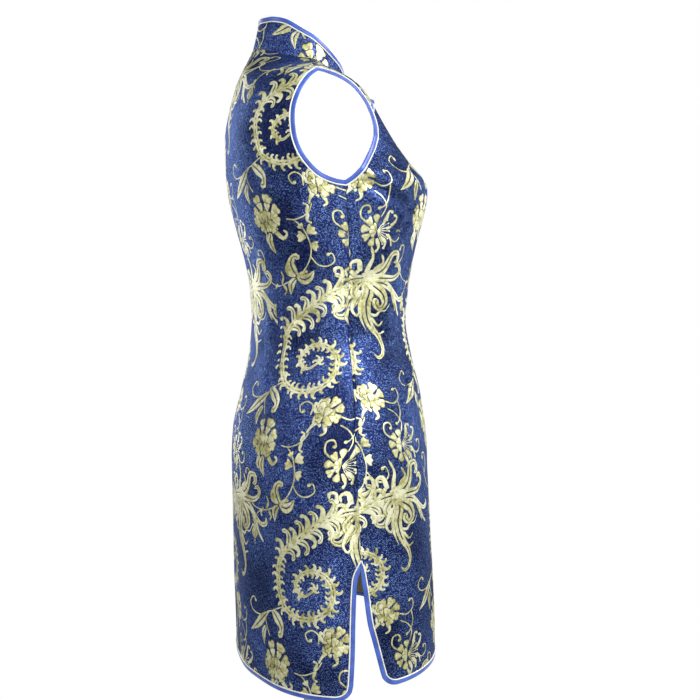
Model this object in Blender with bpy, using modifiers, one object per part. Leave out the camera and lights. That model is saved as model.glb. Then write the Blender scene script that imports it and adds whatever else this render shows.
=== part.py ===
"""Sleeveless mini dress with a stand collar, on a limbless dress form with a stand.

Metres, +Z up. The dress faces -Y and the wearer's right side is -X. The origin is the centre of
the base's underside. Every piece of cloth follows one body surface, which is read from RINGS by
two numbers: an angle in degrees from the front centre, positive towards +X, and a ring number,
which is a row of that table and may fall between rows. Seams, openings and hems are curves of
those two numbers.
"""

import math

import bmesh
import bpy
import numpy as np

# Cloth and its edges
WALL = 0.0012
SEAM_GAP = 0.0003
BINDING_WIDTH = 0.0056
BINDING_THICK = 0.0020
BINDING_RAISE = 0.0004

# Collar
COLLAR_RING = 19.0
COLLAR_FRONT_ANGLE = 7.6
COLLAR_LEAN_SIDE = 0.15
COLLAR_LEAN_FRONT = 0.16
COLLAR_LEAN_BACK = 0.24

# Closures
CORD_RADIUS = 0.0017
KNOT_RADIUS = 0.0048
CORD_HALF_LENGTH = 0.021

# Form and stand
FORM_BOTTOM = 0.790
FORM_EDGE = 0.012
NECK_TOP = 1.432
POLE_RADIUS = 0.008
POLE_FIT = 0.0003
SOCKET_RADIUS = 0.040
SOCKET_PLATE = 0.006
SLEEVE_RADIUS = 0.014
SLEEVE_LENGTH = 0.040
BASE_RADIUS = 0.190
BASE_THICK = 0.009
BASE_HUB_RADIUS = 0.021
BASE_HUB_HEIGHT = 0.034
TURNED_STEPS = 48

# Rings of the body surface, hem to neck
Z, HALF_WIDTH, FRONT, BACK, FRONT_DROP, BACK_RISE, SQUARE, FORM_INSET = range(8)
RINGS = np.array(
    [
        # z, half width, front reach, back reach, front drop, back rise, squareness, form inset
        (0.560, 0.1865, 0.1620, 0.0950, 0.000, 0.000, 2.15, 0.0060),
        (0.600, 0.1860, 0.1600, 0.0960, 0.000, 0.000, 2.15, 0.0060),
        (0.680, 0.1840, 0.1580, 0.0980, 0.000, 0.000, 2.15, 0.0060),
        (0.760, 0.1810, 0.1550, 0.0995, 0.000, 0.000, 2.12, 0.0058),
        (0.840, 0.1740, 0.1520, 0.1010, 0.000, 0.000, 2.10, 0.0052),
        (0.880, 0.1660, 0.1490, 0.0990, 0.000, 0.000, 2.10, 0.0052),
        (0.930, 0.1510, 0.1425, 0.0880, 0.000, 0.000, 2.08, 0.0055),
        (0.980, 0.1350, 0.1310, 0.0775, 0.000, 0.000, 2.06, 0.0060),
        (1.020, 0.1270, 0.1250, 0.0745, 0.000, 0.000, 2.05, 0.0060),
        (1.060, 0.1280, 0.1275, 0.0760, 0.000, 0.000, 2.08, 0.0056),
        (1.100, 0.1330, 0.1330, 0.0830, 0.000, 0.000, 2.15, 0.0050),
        (1.150, 0.1400, 0.1385, 0.0960, 0.000, 0.000, 2.25, 0.0036),
        (1.185, 0.1440, 0.1405, 0.1035, 0.000, 0.000, 2.30, 0.0030),
        (1.220, 0.1460, 0.1205, 0.1065, 0.004, 0.000, 2.30, 0.0029),
        (1.255, 0.1440, 0.1020, 0.1070, 0.012, 0.000, 2.30, 0.0028),
        (1.290, 0.1330, 0.0860, 0.1010, 0.024, 0.002, 2.30, 0.0025),
        (1.318, 0.1130, 0.0735, 0.0915, 0.035, 0.007, 2.30, 0.0022),
        (1.331, 0.0880, 0.0620, 0.0825, 0.041, 0.013, 2.15, 0.0022),
        (1.341, 0.0660, 0.0550, 0.0750, 0.044, 0.018, 2.05, 0.0030),
        (1.345, 0.0580, 0.0510, 0.0720, 0.046, 0.020, 2.00, 0.0055),
    ]
)

# Soft folds of the cloth, as strokes across the unrolled body surface
STROKE_RADIUS = 0.14
STROKES = np.array(
    [
        # angle and z at the start, angle and z at the end, half width, height
        (-25, 1.186, -27, 1.182, 0.050, 0.0095),
        (25, 1.186, 27, 1.182, 0.050, 0.0095),
        (-48, 1.105, -128, 1.028, 0.015, -0.0024),
        (-40, 1.075, -105, 1.012, 0.011, 0.0014),
        (-62, 1.000, -150, 0.992, 0.011, -0.0020),
        (-95, 0.972, -152, 0.966, 0.010, 0.0012),
        (-48, 0.985, -70, 0.895, 0.012, -0.0018),
        (-90, 0.985, -90, 0.890, 0.009, -0.0014),
        (-130, 0.955, -128, 0.870, 0.012, 0.0012),
        (-30, 0.830, -24, 0.640, 0.024, -0.0022),
        (-132, 0.820, -140, 0.610, 0.026, -0.0022),
        (52, 1.098, 124, 1.036, 0.014, -0.0022),
        (66, 1.004, 146, 0.998, 0.012, -0.0019),
        (50, 0.980, 68, 0.900, 0.012, -0.0017),
        (90, 0.980, 90, 0.892, 0.009, -0.0013),
        (34, 0.820, 30, 0.630, 0.025, -0.0021),
        (136, 0.810, 148, 0.612, 0.024, -0.0020),
    ]
)

# Edges of the panels: ring number and angle from the front centre
UNDERARM_RING = 11.87
SHOULDER_RING = 16.35
SLIT_RING = 2.85
SLIT_MIDDLE_Y = -0.0278
ARMHOLE_FRONT = np.array(
    [
        (11.87, 90.0), (12.07, 85.7), (12.30, 81.7), (12.55, 77.8), (13.17, 69.8), (13.80, 63.6),
        (14.21, 61.3), (14.56, 60.5), (15.08, 61.4), (15.54, 66.2), (15.80, 72.2), (16.02, 79.6),
        (16.20, 85.0), (16.35, 90.0),
    ]
)
ARMHOLE_BACK = np.array(
    [
        (11.87, 90.0), (11.94, 96.0), (12.15, 102.5), (12.50, 106.2), (12.98, 108.2),
        (13.48, 108.7), (14.03, 107.6), (14.57, 105.7), (15.20, 101.7), (15.75, 96.6),
        (16.05, 93.0), (16.35, 90.0),
    ]
)
SLIT_FRONT = np.array(
    [(1.16, 81.6), (1.49, 83.6), (1.72, 85.1), (1.96, 86.6), (2.40, 87.8), (2.70, 88.9), (2.85, 90.0)]
)
SLIT_BACK = np.array([(1.10, 96.0), (1.52, 95.2), (1.93, 94.7), (2.36, 94.0), (2.64, 93.0), (2.85, 90.0)])
DIAGONAL = np.array(
    [
        (14.56, 60.5), (15.08, 52.5), (15.54, 43.5), (16.02, 32.5), (16.35, 25.0), (16.90, 13.0),
        (17.60, 4.0), (18.30, 0.0), (19.00, -2.0),
    ]
)

# Rows of the panels above the slits
BODY_ROWS = [3.3, 3.8, 4.3, 4.8, 5.3, 5.8, 6.3, 6.8, 7.3, 7.8, 8.3, 8.8, 9.4, 10.0, 10.6, 11.2, 11.6]
ARM_ROWS = [11.87, 11.95, 12.16, 12.50, 13.00, 13.50, 14.03, 14.56, 15.08, 15.54, 15.80, 16.02, 16.20, 16.35]
YOKE_ROWS = [16.9, 17.6, 18.3, 18.97]
PANEL_COLUMNS = 22
SLIT_STEPS = 5

# Hems: height of the cut edge, height at which the slit's straight edge ends
HEM_FRONT = 0.604
HEM_BACK = 0.590
CORNER_RISE = 0.014
CORNER_ARC = 0.017

# Height of the collar's cut edge above its seam
COLLAR_EDGE = np.array(
    [
        # angle from the front centre, rise
        (7.6, 0.0120), (9.0, 0.0175), (12.0, 0.0225), (17.0, 0.0258), (25.0, 0.0276), (40.0, 0.0246),
        (56.0, 0.0204), (72.0, 0.0212), (87.0, 0.0268), (106.0, 0.0345), (122.0, 0.0388),
        (140.0, 0.0375), (157.0, 0.0340), (180.0, 0.0322),
    ]
)
COLLAR_COLUMNS = 40
COLLAR_ROWS = 3

# Colour, metallic, roughness
MATERIALS = {
    "brocade": ((0.030, 0.050, 0.220, 1.0), 0.0, 0.45),
    "binding": ((0.090, 0.150, 0.520, 1.0), 0.0, 0.40),
    "form": ((0.850, 0.840, 0.820, 1.0), 0.0, 0.60),
    "steel": ((0.720, 0.700, 0.640, 1.0), 1.0, 0.30),
    "base": ((0.780, 0.770, 0.740, 1.0), 0.6, 0.35),
}


def clear_scene():
    for obj in list(bpy.data.objects):
        bpy.data.objects.remove(obj, do_unlink=True)
    for mesh in list(bpy.data.meshes):
        bpy.data.meshes.remove(mesh)


def smooth_rows(table, at):
    """Rows of the table at fractional row numbers, by a monotone cubic through each column."""
    steps = np.diff(table, axis=0)
    before, after = steps[:-1], steps[1:]
    same = before * after > 0
    total = np.where(same, before + after, 1.0)
    inner = np.where(same, 2.0 * before * after / total, 0.0)
    slopes = np.concatenate([steps[:1], inner, steps[-1:]])
    at = np.clip(np.asarray(at, float), 0.0, len(table) - 1.0)
    low = np.minimum(at.astype(int), len(table) - 2)
    x = (at - low)[..., None]
    h_start = (1 + 2 * x) * (1 - x) ** 2
    h_end = x * x * (3 - 2 * x)
    return (
        h_start * table[low]
        + x * (1 - x) ** 2 * slopes[low]
        + h_end * table[low + 1]
        - x * x * (1 - x) * slopes[low + 1]
    )


def edge_angle(table, ring):
    """Angle of a panel edge at a ring number."""
    return np.interp(ring, table[:, 0], table[:, 1])


def superellipse(angle, half_width, front, back, square):
    """Plan position at each angle of a ring with these reaches from the axis."""
    side, ahead = np.sin(angle), np.cos(angle)
    depth = (front + back) / 2
    reach = ((np.abs(side) / half_width) ** square + (np.abs(ahead) / depth) ** square) ** (-1 / square)
    return reach * side, (back - front) / 2 - reach * ahead


def body_point(degrees, ring):
    """Point of the plain body surface."""
    degrees, ring = np.broadcast_arrays(np.asarray(degrees, float), np.asarray(ring, float))
    angle = np.radians(degrees)
    row = smooth_rows(RINGS, ring)
    x, y = superellipse(angle, row[..., HALF_WIDTH], row[..., FRONT], row[..., BACK], row[..., SQUARE])
    ahead = np.cos(angle)
    z = row[..., Z] - row[..., FRONT_DROP] * np.maximum(ahead, 0) ** 2 + row[..., BACK_RISE] * np.maximum(-ahead, 0) ** 2
    return np.stack([x, y, z], axis=-1)


def body_normal(degrees, ring):
    """Unit normal of the plain body surface, outwards, from central differences."""
    degrees, ring = np.broadcast_arrays(np.asarray(degrees, float), np.asarray(ring, float))
    around = body_point(degrees + 0.2, ring) - body_point(degrees - 0.2, ring)
    low, high = np.maximum(ring - 0.02, 0.0), np.minimum(ring + 0.02, len(RINGS) - 1.0)
    up = body_point(degrees, high) - body_point(degrees, low)
    normal = np.cross(around, up)
    return normal / np.linalg.norm(normal, axis=-1, keepdims=True)


def fold_height(degrees, z):
    """Height of the soft folds: each stroke is a bell across the distance to its line."""
    degrees = (np.asarray(degrees, float) + 180.0) % 360.0 - 180.0
    across = np.radians(degrees) * STROKE_RADIUS
    total = np.zeros(np.shape(across + z))
    for angle_a, z_a, angle_b, z_b, half_width, height in STROKES:
        start = np.array([math.radians(angle_a) * STROKE_RADIUS, z_a])
        run = np.array([math.radians(angle_b) * STROKE_RADIUS, z_b]) - start
        dx, dz = across - start[0], z - start[1]
        along = np.clip((dx * run[0] + dz * run[1]) / (run @ run), 0.0, 1.0)
        away = (dx - along * run[0]) ** 2 + (dz - along * run[1]) ** 2
        total += height * np.exp(-away / half_width**2)
    return total


def cloth_point(degrees, ring, out=0.0):
    """Point of the cloth's outer face, moved out by a distance along the body's normal."""
    point = body_point(degrees, ring)
    lift = fold_height(degrees, point[..., 2]) + out
    return point + body_normal(degrees, ring) * lift[..., None]


def ring_at_height(z):
    """Ring number at a height, where the rings are level."""
    rings = np.linspace(0.0, 12.0, 481)
    return np.interp(z, smooth_rows(RINGS, rings)[:, Z], rings)


def collar_base_height(degrees):
    """Height of the collar's seam."""
    row = RINGS[-1]
    ahead = np.cos(np.radians(degrees))
    return row[Z] - row[FRONT_DROP] * np.maximum(ahead, 0) ** 2 + row[BACK_RISE] * np.maximum(-ahead, 0) ** 2


def collar_point(degrees, rise, out=0.0):
    """Point of the collar's outer face at a height above its seam, leaning inwards as it rises."""
    degrees, rise = np.broadcast_arrays(np.asarray(degrees, float), np.asarray(rise, float))
    row = RINGS[-1]
    angle = np.radians(degrees)
    x, y = superellipse(
        angle,
        row[HALF_WIDTH] - COLLAR_LEAN_SIDE * rise + out,
        row[FRONT] - COLLAR_LEAN_FRONT * rise + out,
        row[BACK] - COLLAR_LEAN_BACK * rise + out,
        row[SQUARE],
    )
    return np.stack([x, y, collar_base_height(degrees) + rise], axis=-1)


def new_object(name, mesh, slot, collection):
    obj = bpy.data.objects.new(name, mesh)
    obj.data.materials.clear()
    obj.data.materials.append(bpy.data.materials[slot])
    collection.objects.link(obj)
    return obj


def make_materials():
    for name, (colour, metallic, roughness) in MATERIALS.items():
        material = bpy.data.materials.new(name)
        material.use_nodes = True
        shader = material.node_tree.nodes["Principled BSDF"]
        shader.inputs["Base Color"].default_value = colour
        shader.inputs["Metallic"].default_value = metallic
        shader.inputs["Roughness"].default_value = roughness
        material.diffuse_color = colour


def mesh_from(name, points, faces):
    mesh = bpy.data.meshes.new(name)
    mesh.from_pydata(np.asarray(points).reshape(-1, 3).tolist(), [], faces)
    mesh.update()
    return mesh


def grid_faces(rows, columns, wrap=False):
    """Quads of a grid of points, turned so that rows going up and columns going to +angle face out."""
    index = np.arange(rows * columns).reshape(rows, columns)
    if wrap:
        index = np.concatenate([index, index[:, :1]], axis=1)
    quads = np.stack([index[:-1, :-1], index[:-1, 1:], index[1:, 1:], index[1:, :-1]], axis=-1)
    return quads.reshape(-1, 4).tolist()


def add_cloth(name, grid, slot, collection):
    """A sheet of cloth: the grid is its outer face, and the wall goes inwards."""
    rows, columns = grid.shape[:2]
    obj = new_object(name, mesh_from(name, grid, grid_faces(rows, columns)), slot, collection)
    wall = obj.modifiers.new("Wall", "SOLIDIFY")
    wall.thickness = WALL
    wall.offset = -1.0
    wall.use_even_offset = True
    return obj


def add_band(name, edge, normals, toward, collection, closed=False, keep=None):
    """A flat strip along a cut edge, on the side of the point `toward`.

    Each station is a rectangle: from the seam gap to the strip's width away from the edge, and
    from the raise above the cloth's face to the strip's thickness below that.
    """
    if closed:
        ahead = np.roll(edge, -1, axis=0) - edge
        behind = edge - np.roll(edge, 1, axis=0)
    else:
        ahead = np.diff(edge, axis=0, append=2 * edge[-1:] - edge[-2:-1])
        behind = np.diff(edge, axis=0, prepend=2 * edge[:1] - edge[1:2])
    sides = []
    for run in (ahead, behind):
        side = np.cross(run, normals)
        sides.append(side / np.linalg.norm(side, axis=1, keepdims=True))
    away = sides[0] + sides[1]
    away /= np.linalg.norm(away, axis=1, keepdims=True)
    mitre = 1 / np.maximum((away * sides[0]).sum(axis=1, keepdims=True), 0.55)
    if (away * (toward - edge)).sum() < 0:
        away = -away
    near, far = away * mitre * SEAM_GAP, away * mitre * (SEAM_GAP + BINDING_WIDTH)
    top, bottom = normals * BINDING_RAISE, normals * (BINDING_RAISE - BINDING_THICK)
    loops = np.stack([edge + near + bottom, edge + far + bottom, edge + far + top, edge + near + top], axis=1)
    if keep is not None:
        loops = keep(loops)
    count = len(edge)
    faces = grid_faces(count, 4, wrap=True)
    if closed:
        last = [4 * (count - 1) + i for i in range(4)]
        faces += [[last[i], last[(i + 1) % 4], (i + 1) % 4, i] for i in range(4)]
    else:
        faces += [[3, 2, 1, 0], [4 * count - 4 + i for i in range(4)]]
    mesh = mesh_from(name, loops, faces)
    outward(mesh)
    return new_object(name, mesh, "binding", collection)


def outward(mesh):
    shell = bmesh.new()
    shell.from_mesh(mesh)
    bmesh.ops.recalc_face_normals(shell, faces=shell.faces)
    shell.to_mesh(mesh)
    shell.free()


def seam_angle(ring):
    """Half of the seam gap as an angle, at the side of the body."""
    return math.degrees(0.5 * SEAM_GAP / smooth_rows(RINGS, ring)[..., HALF_WIDTH])


def half_angle(armhole, slit, ring):
    """Angle from the front centre of a panel's side edge."""
    ring = np.asarray(ring, float)
    side = np.where(ring < SLIT_RING, edge_angle(slit, ring), 90.0)
    inside = (ring > UNDERARM_RING) & (ring < SHOULDER_RING)
    return np.where(inside, edge_angle(armhole, ring), side)


def spread(columns):
    """Columns from -1 to 1, closer together at the sides."""
    even = np.linspace(-1.0, 1.0, columns + 1)
    return 0.4 * even + 0.6 * np.sin(even * math.pi / 2)


def hem_rings(share, reach, hem, ring_low):
    """Ring number of the hem at each column: level, and rising in a quarter round to the slit."""
    arc = (1 - np.abs(share)) * reach
    turn = 1 - np.clip(arc / CORNER_ARC, 0.0, 1.0)
    rise = CORNER_RISE * (1 - np.sqrt(np.maximum(1 - turn**2, 0.0)))
    return ring_at_height(hem + rise)


def panel_grid(armhole, slit, hem, behind):
    """Angles and rings of the front or the back, hem to neck, as two grids."""
    share = spread(PANEL_COLUMNS)
    low = hem_rings(share, 0.27, hem, slit[0, 0])
    steps = np.linspace(0.0, 1.0, SLIT_STEPS + 1)[:, None]
    rings = np.concatenate(
        [
            low + (SLIT_RING - low) * steps,
            np.repeat(np.array(BODY_ROWS + ARM_ROWS + YOKE_ROWS)[:, None], len(share), axis=1),
        ]
    )
    edge_rings = rings[:, 0]
    edge = half_angle(armhole, slit, edge_rings)
    if behind:
        edge = 180.0 - edge
    gap = np.degrees(0.5 * SEAM_GAP / smooth_rows(RINGS, edge_rings)[:, HALF_WIDTH])
    return share[None, :] * (edge - gap)[:, None], rings


def panel_boundary(angles, rings, outline_rows):
    """Edge points and normals of a panel's slits and hem, up one side and down the other."""
    left = [(row, 0) for row in range(outline_rows, 0, -1)]
    low = [(0, column) for column in range(angles.shape[1])]
    right = [(row, angles.shape[1] - 1) for row in range(1, outline_rows + 1)]
    rows, columns = np.array(left + low + right).T
    return angles[rows, columns], rings[rows, columns]


def build_front(collection):
    angles, rings = panel_grid(ARMHOLE_FRONT, SLIT_FRONT, HEM_FRONT, behind=False)
    share = (spread(PANEL_COLUMNS) + 1) / 2
    for row, ring in enumerate(rings[:, 0]):
        if ring > DIAGONAL[0, 0]:
            low = -edge_angle(DIAGONAL, ring)
            angles[row] = low + (angles[row, -1] - low) * share
    add_cloth("front", cloth_point(angles, rings), "brocade", collection)
    add_hem_band("binding_hem_front", angles, rings, -1.0, collection)
    rows = [row for row, ring in enumerate(rings[:, 0]) if ring >= DIAGONAL[0, 0]]
    return angles[rows, 0], rings[rows, 0]


def build_back(collection):
    angles, rings = panel_grid(ARMHOLE_BACK, SLIT_BACK, HEM_BACK, behind=True)
    add_cloth("back", cloth_point(angles + 180.0, rings), "brocade", collection)
    add_hem_band("binding_hem_back", angles + 180.0, rings, 1.0, collection)


def add_hem_band(name, angles, rings, side, collection):
    """Binding of one hem and its two slit edges, mitred where front and back meet at the slit's top."""
    angle, ring = panel_boundary(angles, rings, SLIT_STEPS)
    edge, normals = cloth_point(angle, ring), body_normal(angle, ring)
    edge[0] = 0.12 * edge[1] + 0.88 * edge[0]
    edge[-1] = 0.12 * edge[-2] + 0.88 * edge[-1]
    limit = SLIT_MIDDLE_Y + side * SEAM_GAP / 2

    def keep(loops):
        loops[..., 1] = side * np.maximum(side * loops[..., 1], side * limit)
        return loops

    add_band(name, edge, normals, np.array([0.0, 0.0, -10.0]), collection, keep=keep)


def build_chest(collection):
    """The piece above the diagonal edge, between it, the right armhole, shoulder and neck."""
    rings = np.array([14.82] + ARM_ROWS[8:] + YOKE_ROWS)
    gap = np.degrees(0.5 * SEAM_GAP / smooth_rows(RINGS, rings)[:, HALF_WIDTH])
    outer = -(half_angle(ARMHOLE_FRONT, SLIT_FRONT, rings) - gap)
    middle = -edge_angle(DIAGONAL, rings)
    along = np.linalg.norm(body_point(middle + 0.5, rings) - body_point(middle - 0.5, rings), axis=1)
    up = np.linalg.norm(body_point(middle, rings + 0.02) - body_point(middle, rings - 0.02), axis=1) / 0.04
    slope = (edge_angle(DIAGONAL, rings + 0.3) - edge_angle(DIAGONAL, rings - 0.3)) / 0.6 * along / up
    clear = (BINDING_WIDTH + 4 * SEAM_GAP) * np.sqrt(1 + slope**2)
    inner = middle - clear / along
    inner = np.maximum(inner, outer + 1.2)
    angles = outer[:, None] + (inner - outer)[:, None] * np.linspace(0.0, 1.0, 9)
    add_cloth("chest_right", cloth_point(angles, rings[:, None] + 0 * angles), "brocade", collection)


def build_diagonal(angles, rings, collection):
    edge, normals = cloth_point(angles, rings), body_normal(angles, rings)
    edge[0] = 0.5 * edge[0] + 0.5 * edge[1]
    edge[-1] = 0.08 * edge[-2] + 0.92 * edge[-1]
    add_band("binding_diagonal", edge, normals, cloth_point(-75.0, 17.0), collection)


def build_armholes(collection):
    """A closed strip round each armhole, on the same stations as the panels' rows."""
    rings = np.array(ARM_ROWS)
    ring = np.concatenate([rings, rings[-2:0:-1]])
    front = edge_angle(ARMHOLE_FRONT, rings)
    back = edge_angle(ARMHOLE_BACK, rings[-2:0:-1])
    angle = np.concatenate([front, back])
    for name, side in (("binding_armhole_left", 1.0), ("binding_armhole_right", -1.0)):
        edge, normals = cloth_point(side * angle, ring), body_normal(side * angle, ring)
        add_band(name, edge, normals, edge.mean(axis=0), collection, closed=True)


def build_collar(collection):
    """The stand collar round the back of the neck, with its binding along the cut edge."""
    half = 180.0 - COLLAR_FRONT_ANGLE
    turn = half * spread(COLLAR_COLUMNS)
    edge_rise = np.interp(180.0 - np.abs(turn), COLLAR_EDGE[:, 0], COLLAR_EDGE[:, 1])
    rise = SEAM_GAP + (edge_rise - SEAM_GAP) * np.linspace(0.0, 1.0, COLLAR_ROWS + 1)[:, None]
    grid = collar_point(turn + 180.0, rise)
    add_cloth("collar", grid, "brocade", collection)
    path_turn = np.concatenate([turn[:1], turn, turn[-1:]])
    path_rise = np.concatenate([[2 * SEAM_GAP], edge_rise, [2 * SEAM_GAP]])
    edge = collar_point(path_turn + 180.0, path_rise)
    normals = collar_point(path_turn + 180.0, path_rise, 0.001) - edge
    normals /= np.linalg.norm(normals, axis=1, keepdims=True)
    add_band("binding_collar", edge, normals, np.array([0.0, 0.0, 10.0]), collection)


def add_knot(name, point_at, collection):
    """A cord with a round knot in its middle. point_at gives the path at a distance and a height."""
    along = np.linspace(-CORD_HALF_LENGTH, CORD_HALF_LENGTH, 19)
    radius = CORD_RADIUS + (KNOT_RADIUS - CORD_RADIUS) * np.exp(-((along / 0.0042) ** 4))
    curve = bpy.data.curves.new(name, "CURVE")
    curve.dimensions = "3D"
    curve.bevel_depth = 1.0
    curve.bevel_resolution = 2
    curve.use_fill_caps = True
    spline = curve.splines.new("POLY")
    spline.points.add(len(along) - 1)
    path = point_at(along, BINDING_RAISE + SEAM_GAP + radius)
    for point, place, size in zip(spline.points, path, radius):
        point.co = (*place, 1.0)
        point.radius = size
    return new_object(name, curve, "binding", collection)


def build_knots(collection):
    """One knotted cord across the collar's front gap and one across the diagonal edge."""

    def collar_path(along, height):
        angle = np.degrees(along / RINGS[-1, FRONT])
        return collar_point(angle, 0.006, height)

    def diagonal_path(along, height):
        angle = -edge_angle(DIAGONAL, 15.9) - np.degrees(0.3 * along / 0.08)
        ring = 15.9 + 0.75 * along / 0.021
        return cloth_point(angle, ring, height)

    add_knot("knot_collar", collar_path, collection)
    add_knot("knot_diagonal", diagonal_path, collection)


def build_form(collection):
    """The torso inside the cloth, with a plain neck: rings closed by a cap at each end."""
    turn = np.arange(36) * 10.0
    low = float(ring_at_height(FORM_BOTTOM))
    body = np.concatenate([np.array([low, low, low + 0.12]), np.arange(3.8, 18.8, 0.6), [19.0]])
    inset = smooth_rows(RINGS, body)[:, FORM_INSET].copy()
    inset[0] += FORM_EDGE
    inset[1] += FORM_EDGE / 3
    rings = body_point(turn, body[:, None]) - body_normal(turn, body[:, None]) * inset[:, None, None]
    rings[0, :, 2] = FORM_BOTTOM
    rings[1, :, 2] = FORM_BOTTOM + FORM_EDGE / 3
    angle = np.radians(turn)
    neck = []
    # half width, front reach, back reach, side height, front height, back height
    for half, ahead, behind, side_z, front_z, back_z in (
        (0.0490, 0.0410, 0.0590, 1.362, 1.334, 1.377),
        (0.0475, 0.0395, 0.0565, 1.392, 1.378, 1.398),
        (0.0468, 0.0388, 0.0556, NECK_TOP - 0.005, NECK_TOP - 0.005, NECK_TOP - 0.005),
        (0.0450, 0.0370, 0.0538, NECK_TOP, NECK_TOP, NECK_TOP),
    ):
        x, y = superellipse(angle, half, ahead, behind, 2.0)
        front_share, back_share = np.maximum(np.cos(angle), 0) ** 2, np.maximum(-np.cos(angle), 0) ** 2
        z = side_z + (front_z - side_z) * front_share + (back_z - side_z) * back_share
        neck.append(np.stack([x, y, z], axis=-1))
    rings = np.concatenate([rings, np.array(neck)])
    count, around = rings.shape[:2]
    faces = grid_faces(count, around, wrap=True)
    faces += [list(range(around))[::-1], [around * (count - 1) + i for i in range(around)]]
    mesh = mesh_from("form", rings, faces)
    outward(mesh)
    return new_object("form", mesh, "form", collection)


def add_turned(name, profile, slot, collection):
    """A solid turned about the stand's axis from (radius, height) points that start and end on it."""
    mesh = bpy.data.meshes.new(name)
    edges = [(i, i + 1) for i in range(len(profile) - 1)]
    mesh.from_pydata([(radius, 0.0, height) for radius, height in profile], edges, [])
    obj = new_object(name, mesh, slot, collection)
    screw = obj.modifiers.new("Turn", "SCREW")
    screw.steps = TURNED_STEPS
    screw.render_steps = TURNED_STEPS
    screw.use_normal_flip = True
    screw.use_merge_vertices = True
    screw.merge_threshold = 0.00002
    return obj


def build_stand(collection):
    bore = POLE_RADIUS + POLE_FIT
    plate_top = FORM_BOTTOM - SEAM_GAP
    plate_low = plate_top - SOCKET_PLATE
    sleeve_low = plate_low - SLEEVE_LENGTH
    add_turned(
        "socket",
        [
            (0.0, plate_low - 0.004), (bore, plate_low - 0.004), (bore, sleeve_low),
            (SLEEVE_RADIUS, sleeve_low), (SLEEVE_RADIUS, plate_low),
            (SOCKET_RADIUS - 0.001, plate_low), (SOCKET_RADIUS, plate_low + 0.001),
            (SOCKET_RADIUS, plate_top), (0.0, plate_top),
        ],
        "steel",
        collection,
    )
    add_turned(
        "base",
        [
            (0.0, 0.0), (BASE_RADIUS - 0.002, 0.0), (BASE_RADIUS, 0.002), (BASE_RADIUS, BASE_THICK - 0.003),
            (BASE_RADIUS - 0.003, BASE_THICK), (BASE_HUB_RADIUS + 0.010, BASE_THICK + 0.003),
            (BASE_HUB_RADIUS, BASE_THICK + 0.008), (BASE_HUB_RADIUS, BASE_HUB_HEIGHT - 0.002),
            (BASE_HUB_RADIUS - 0.002, BASE_HUB_HEIGHT), (bore, BASE_HUB_HEIGHT), (bore, BASE_THICK), (0.0, BASE_THICK),
        ],
        "base",
        collection,
    )
    low, high = BASE_THICK + SEAM_GAP, plate_low - 0.004 - SEAM_GAP
    add_turned("pole", [(0.0, low), (POLE_RADIUS, low), (POLE_RADIUS, high), (0.0, high)], "steel", collection)


def main():
    clear_scene()
    make_materials()
    collection = bpy.data.collections.new("mini_dress")
    bpy.context.scene.collection.children.link(collection)
    angles, rings = build_front(collection)
    build_diagonal(angles, rings, collection)
    build_chest(collection)
    build_back(collection)
    build_collar(collection)
    build_armholes(collection)
    build_knots(collection)
    build_form(collection)
    build_stand(collection)


main()
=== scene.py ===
"""Sleeveless brocade mini dress with a stand collar, on a limbless dress form with a stand.

Metres, +Z up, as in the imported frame. The dress faces -Y and the wearer's right side is -X.
Cloth, bindings and woven figures all lie on one body surface, read from a table of rings by an
angle in degrees from the front centre, positive towards +X, and a ring number. The woven pattern
is drawn flat, in millimetres across and up each panel, and wrapped on the panel afterwards.
"""

import math

import bmesh
import bpy
import numpy as np
from mathutils import Matrix, Vector


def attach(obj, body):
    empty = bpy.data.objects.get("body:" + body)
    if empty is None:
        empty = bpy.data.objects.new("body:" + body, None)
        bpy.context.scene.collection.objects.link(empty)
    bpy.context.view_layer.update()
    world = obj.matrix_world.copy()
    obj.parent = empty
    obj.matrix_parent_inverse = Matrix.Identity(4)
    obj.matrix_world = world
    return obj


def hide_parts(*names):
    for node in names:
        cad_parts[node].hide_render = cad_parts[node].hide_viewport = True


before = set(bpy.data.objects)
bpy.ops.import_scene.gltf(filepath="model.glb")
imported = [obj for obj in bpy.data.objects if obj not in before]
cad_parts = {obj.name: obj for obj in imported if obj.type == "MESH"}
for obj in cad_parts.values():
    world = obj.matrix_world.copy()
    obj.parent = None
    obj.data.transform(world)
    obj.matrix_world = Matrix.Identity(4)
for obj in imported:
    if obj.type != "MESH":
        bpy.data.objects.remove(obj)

bl_info = {
    "name": "Mini dress",
    "version": (1, 0, 0),
    "blender": (4, 5, 0),
    "location": "3D View > Sidebar > Dress",
    "description": "Builds a brocade mini dress, its dress form and a studio",
    "category": "Add Mesh",
}

BODY = "root"
# Strength of the white backdrop as a light, and its share of that in reflections
FILL, GLOSSY_SHARE = 0.42, 0.22
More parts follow.
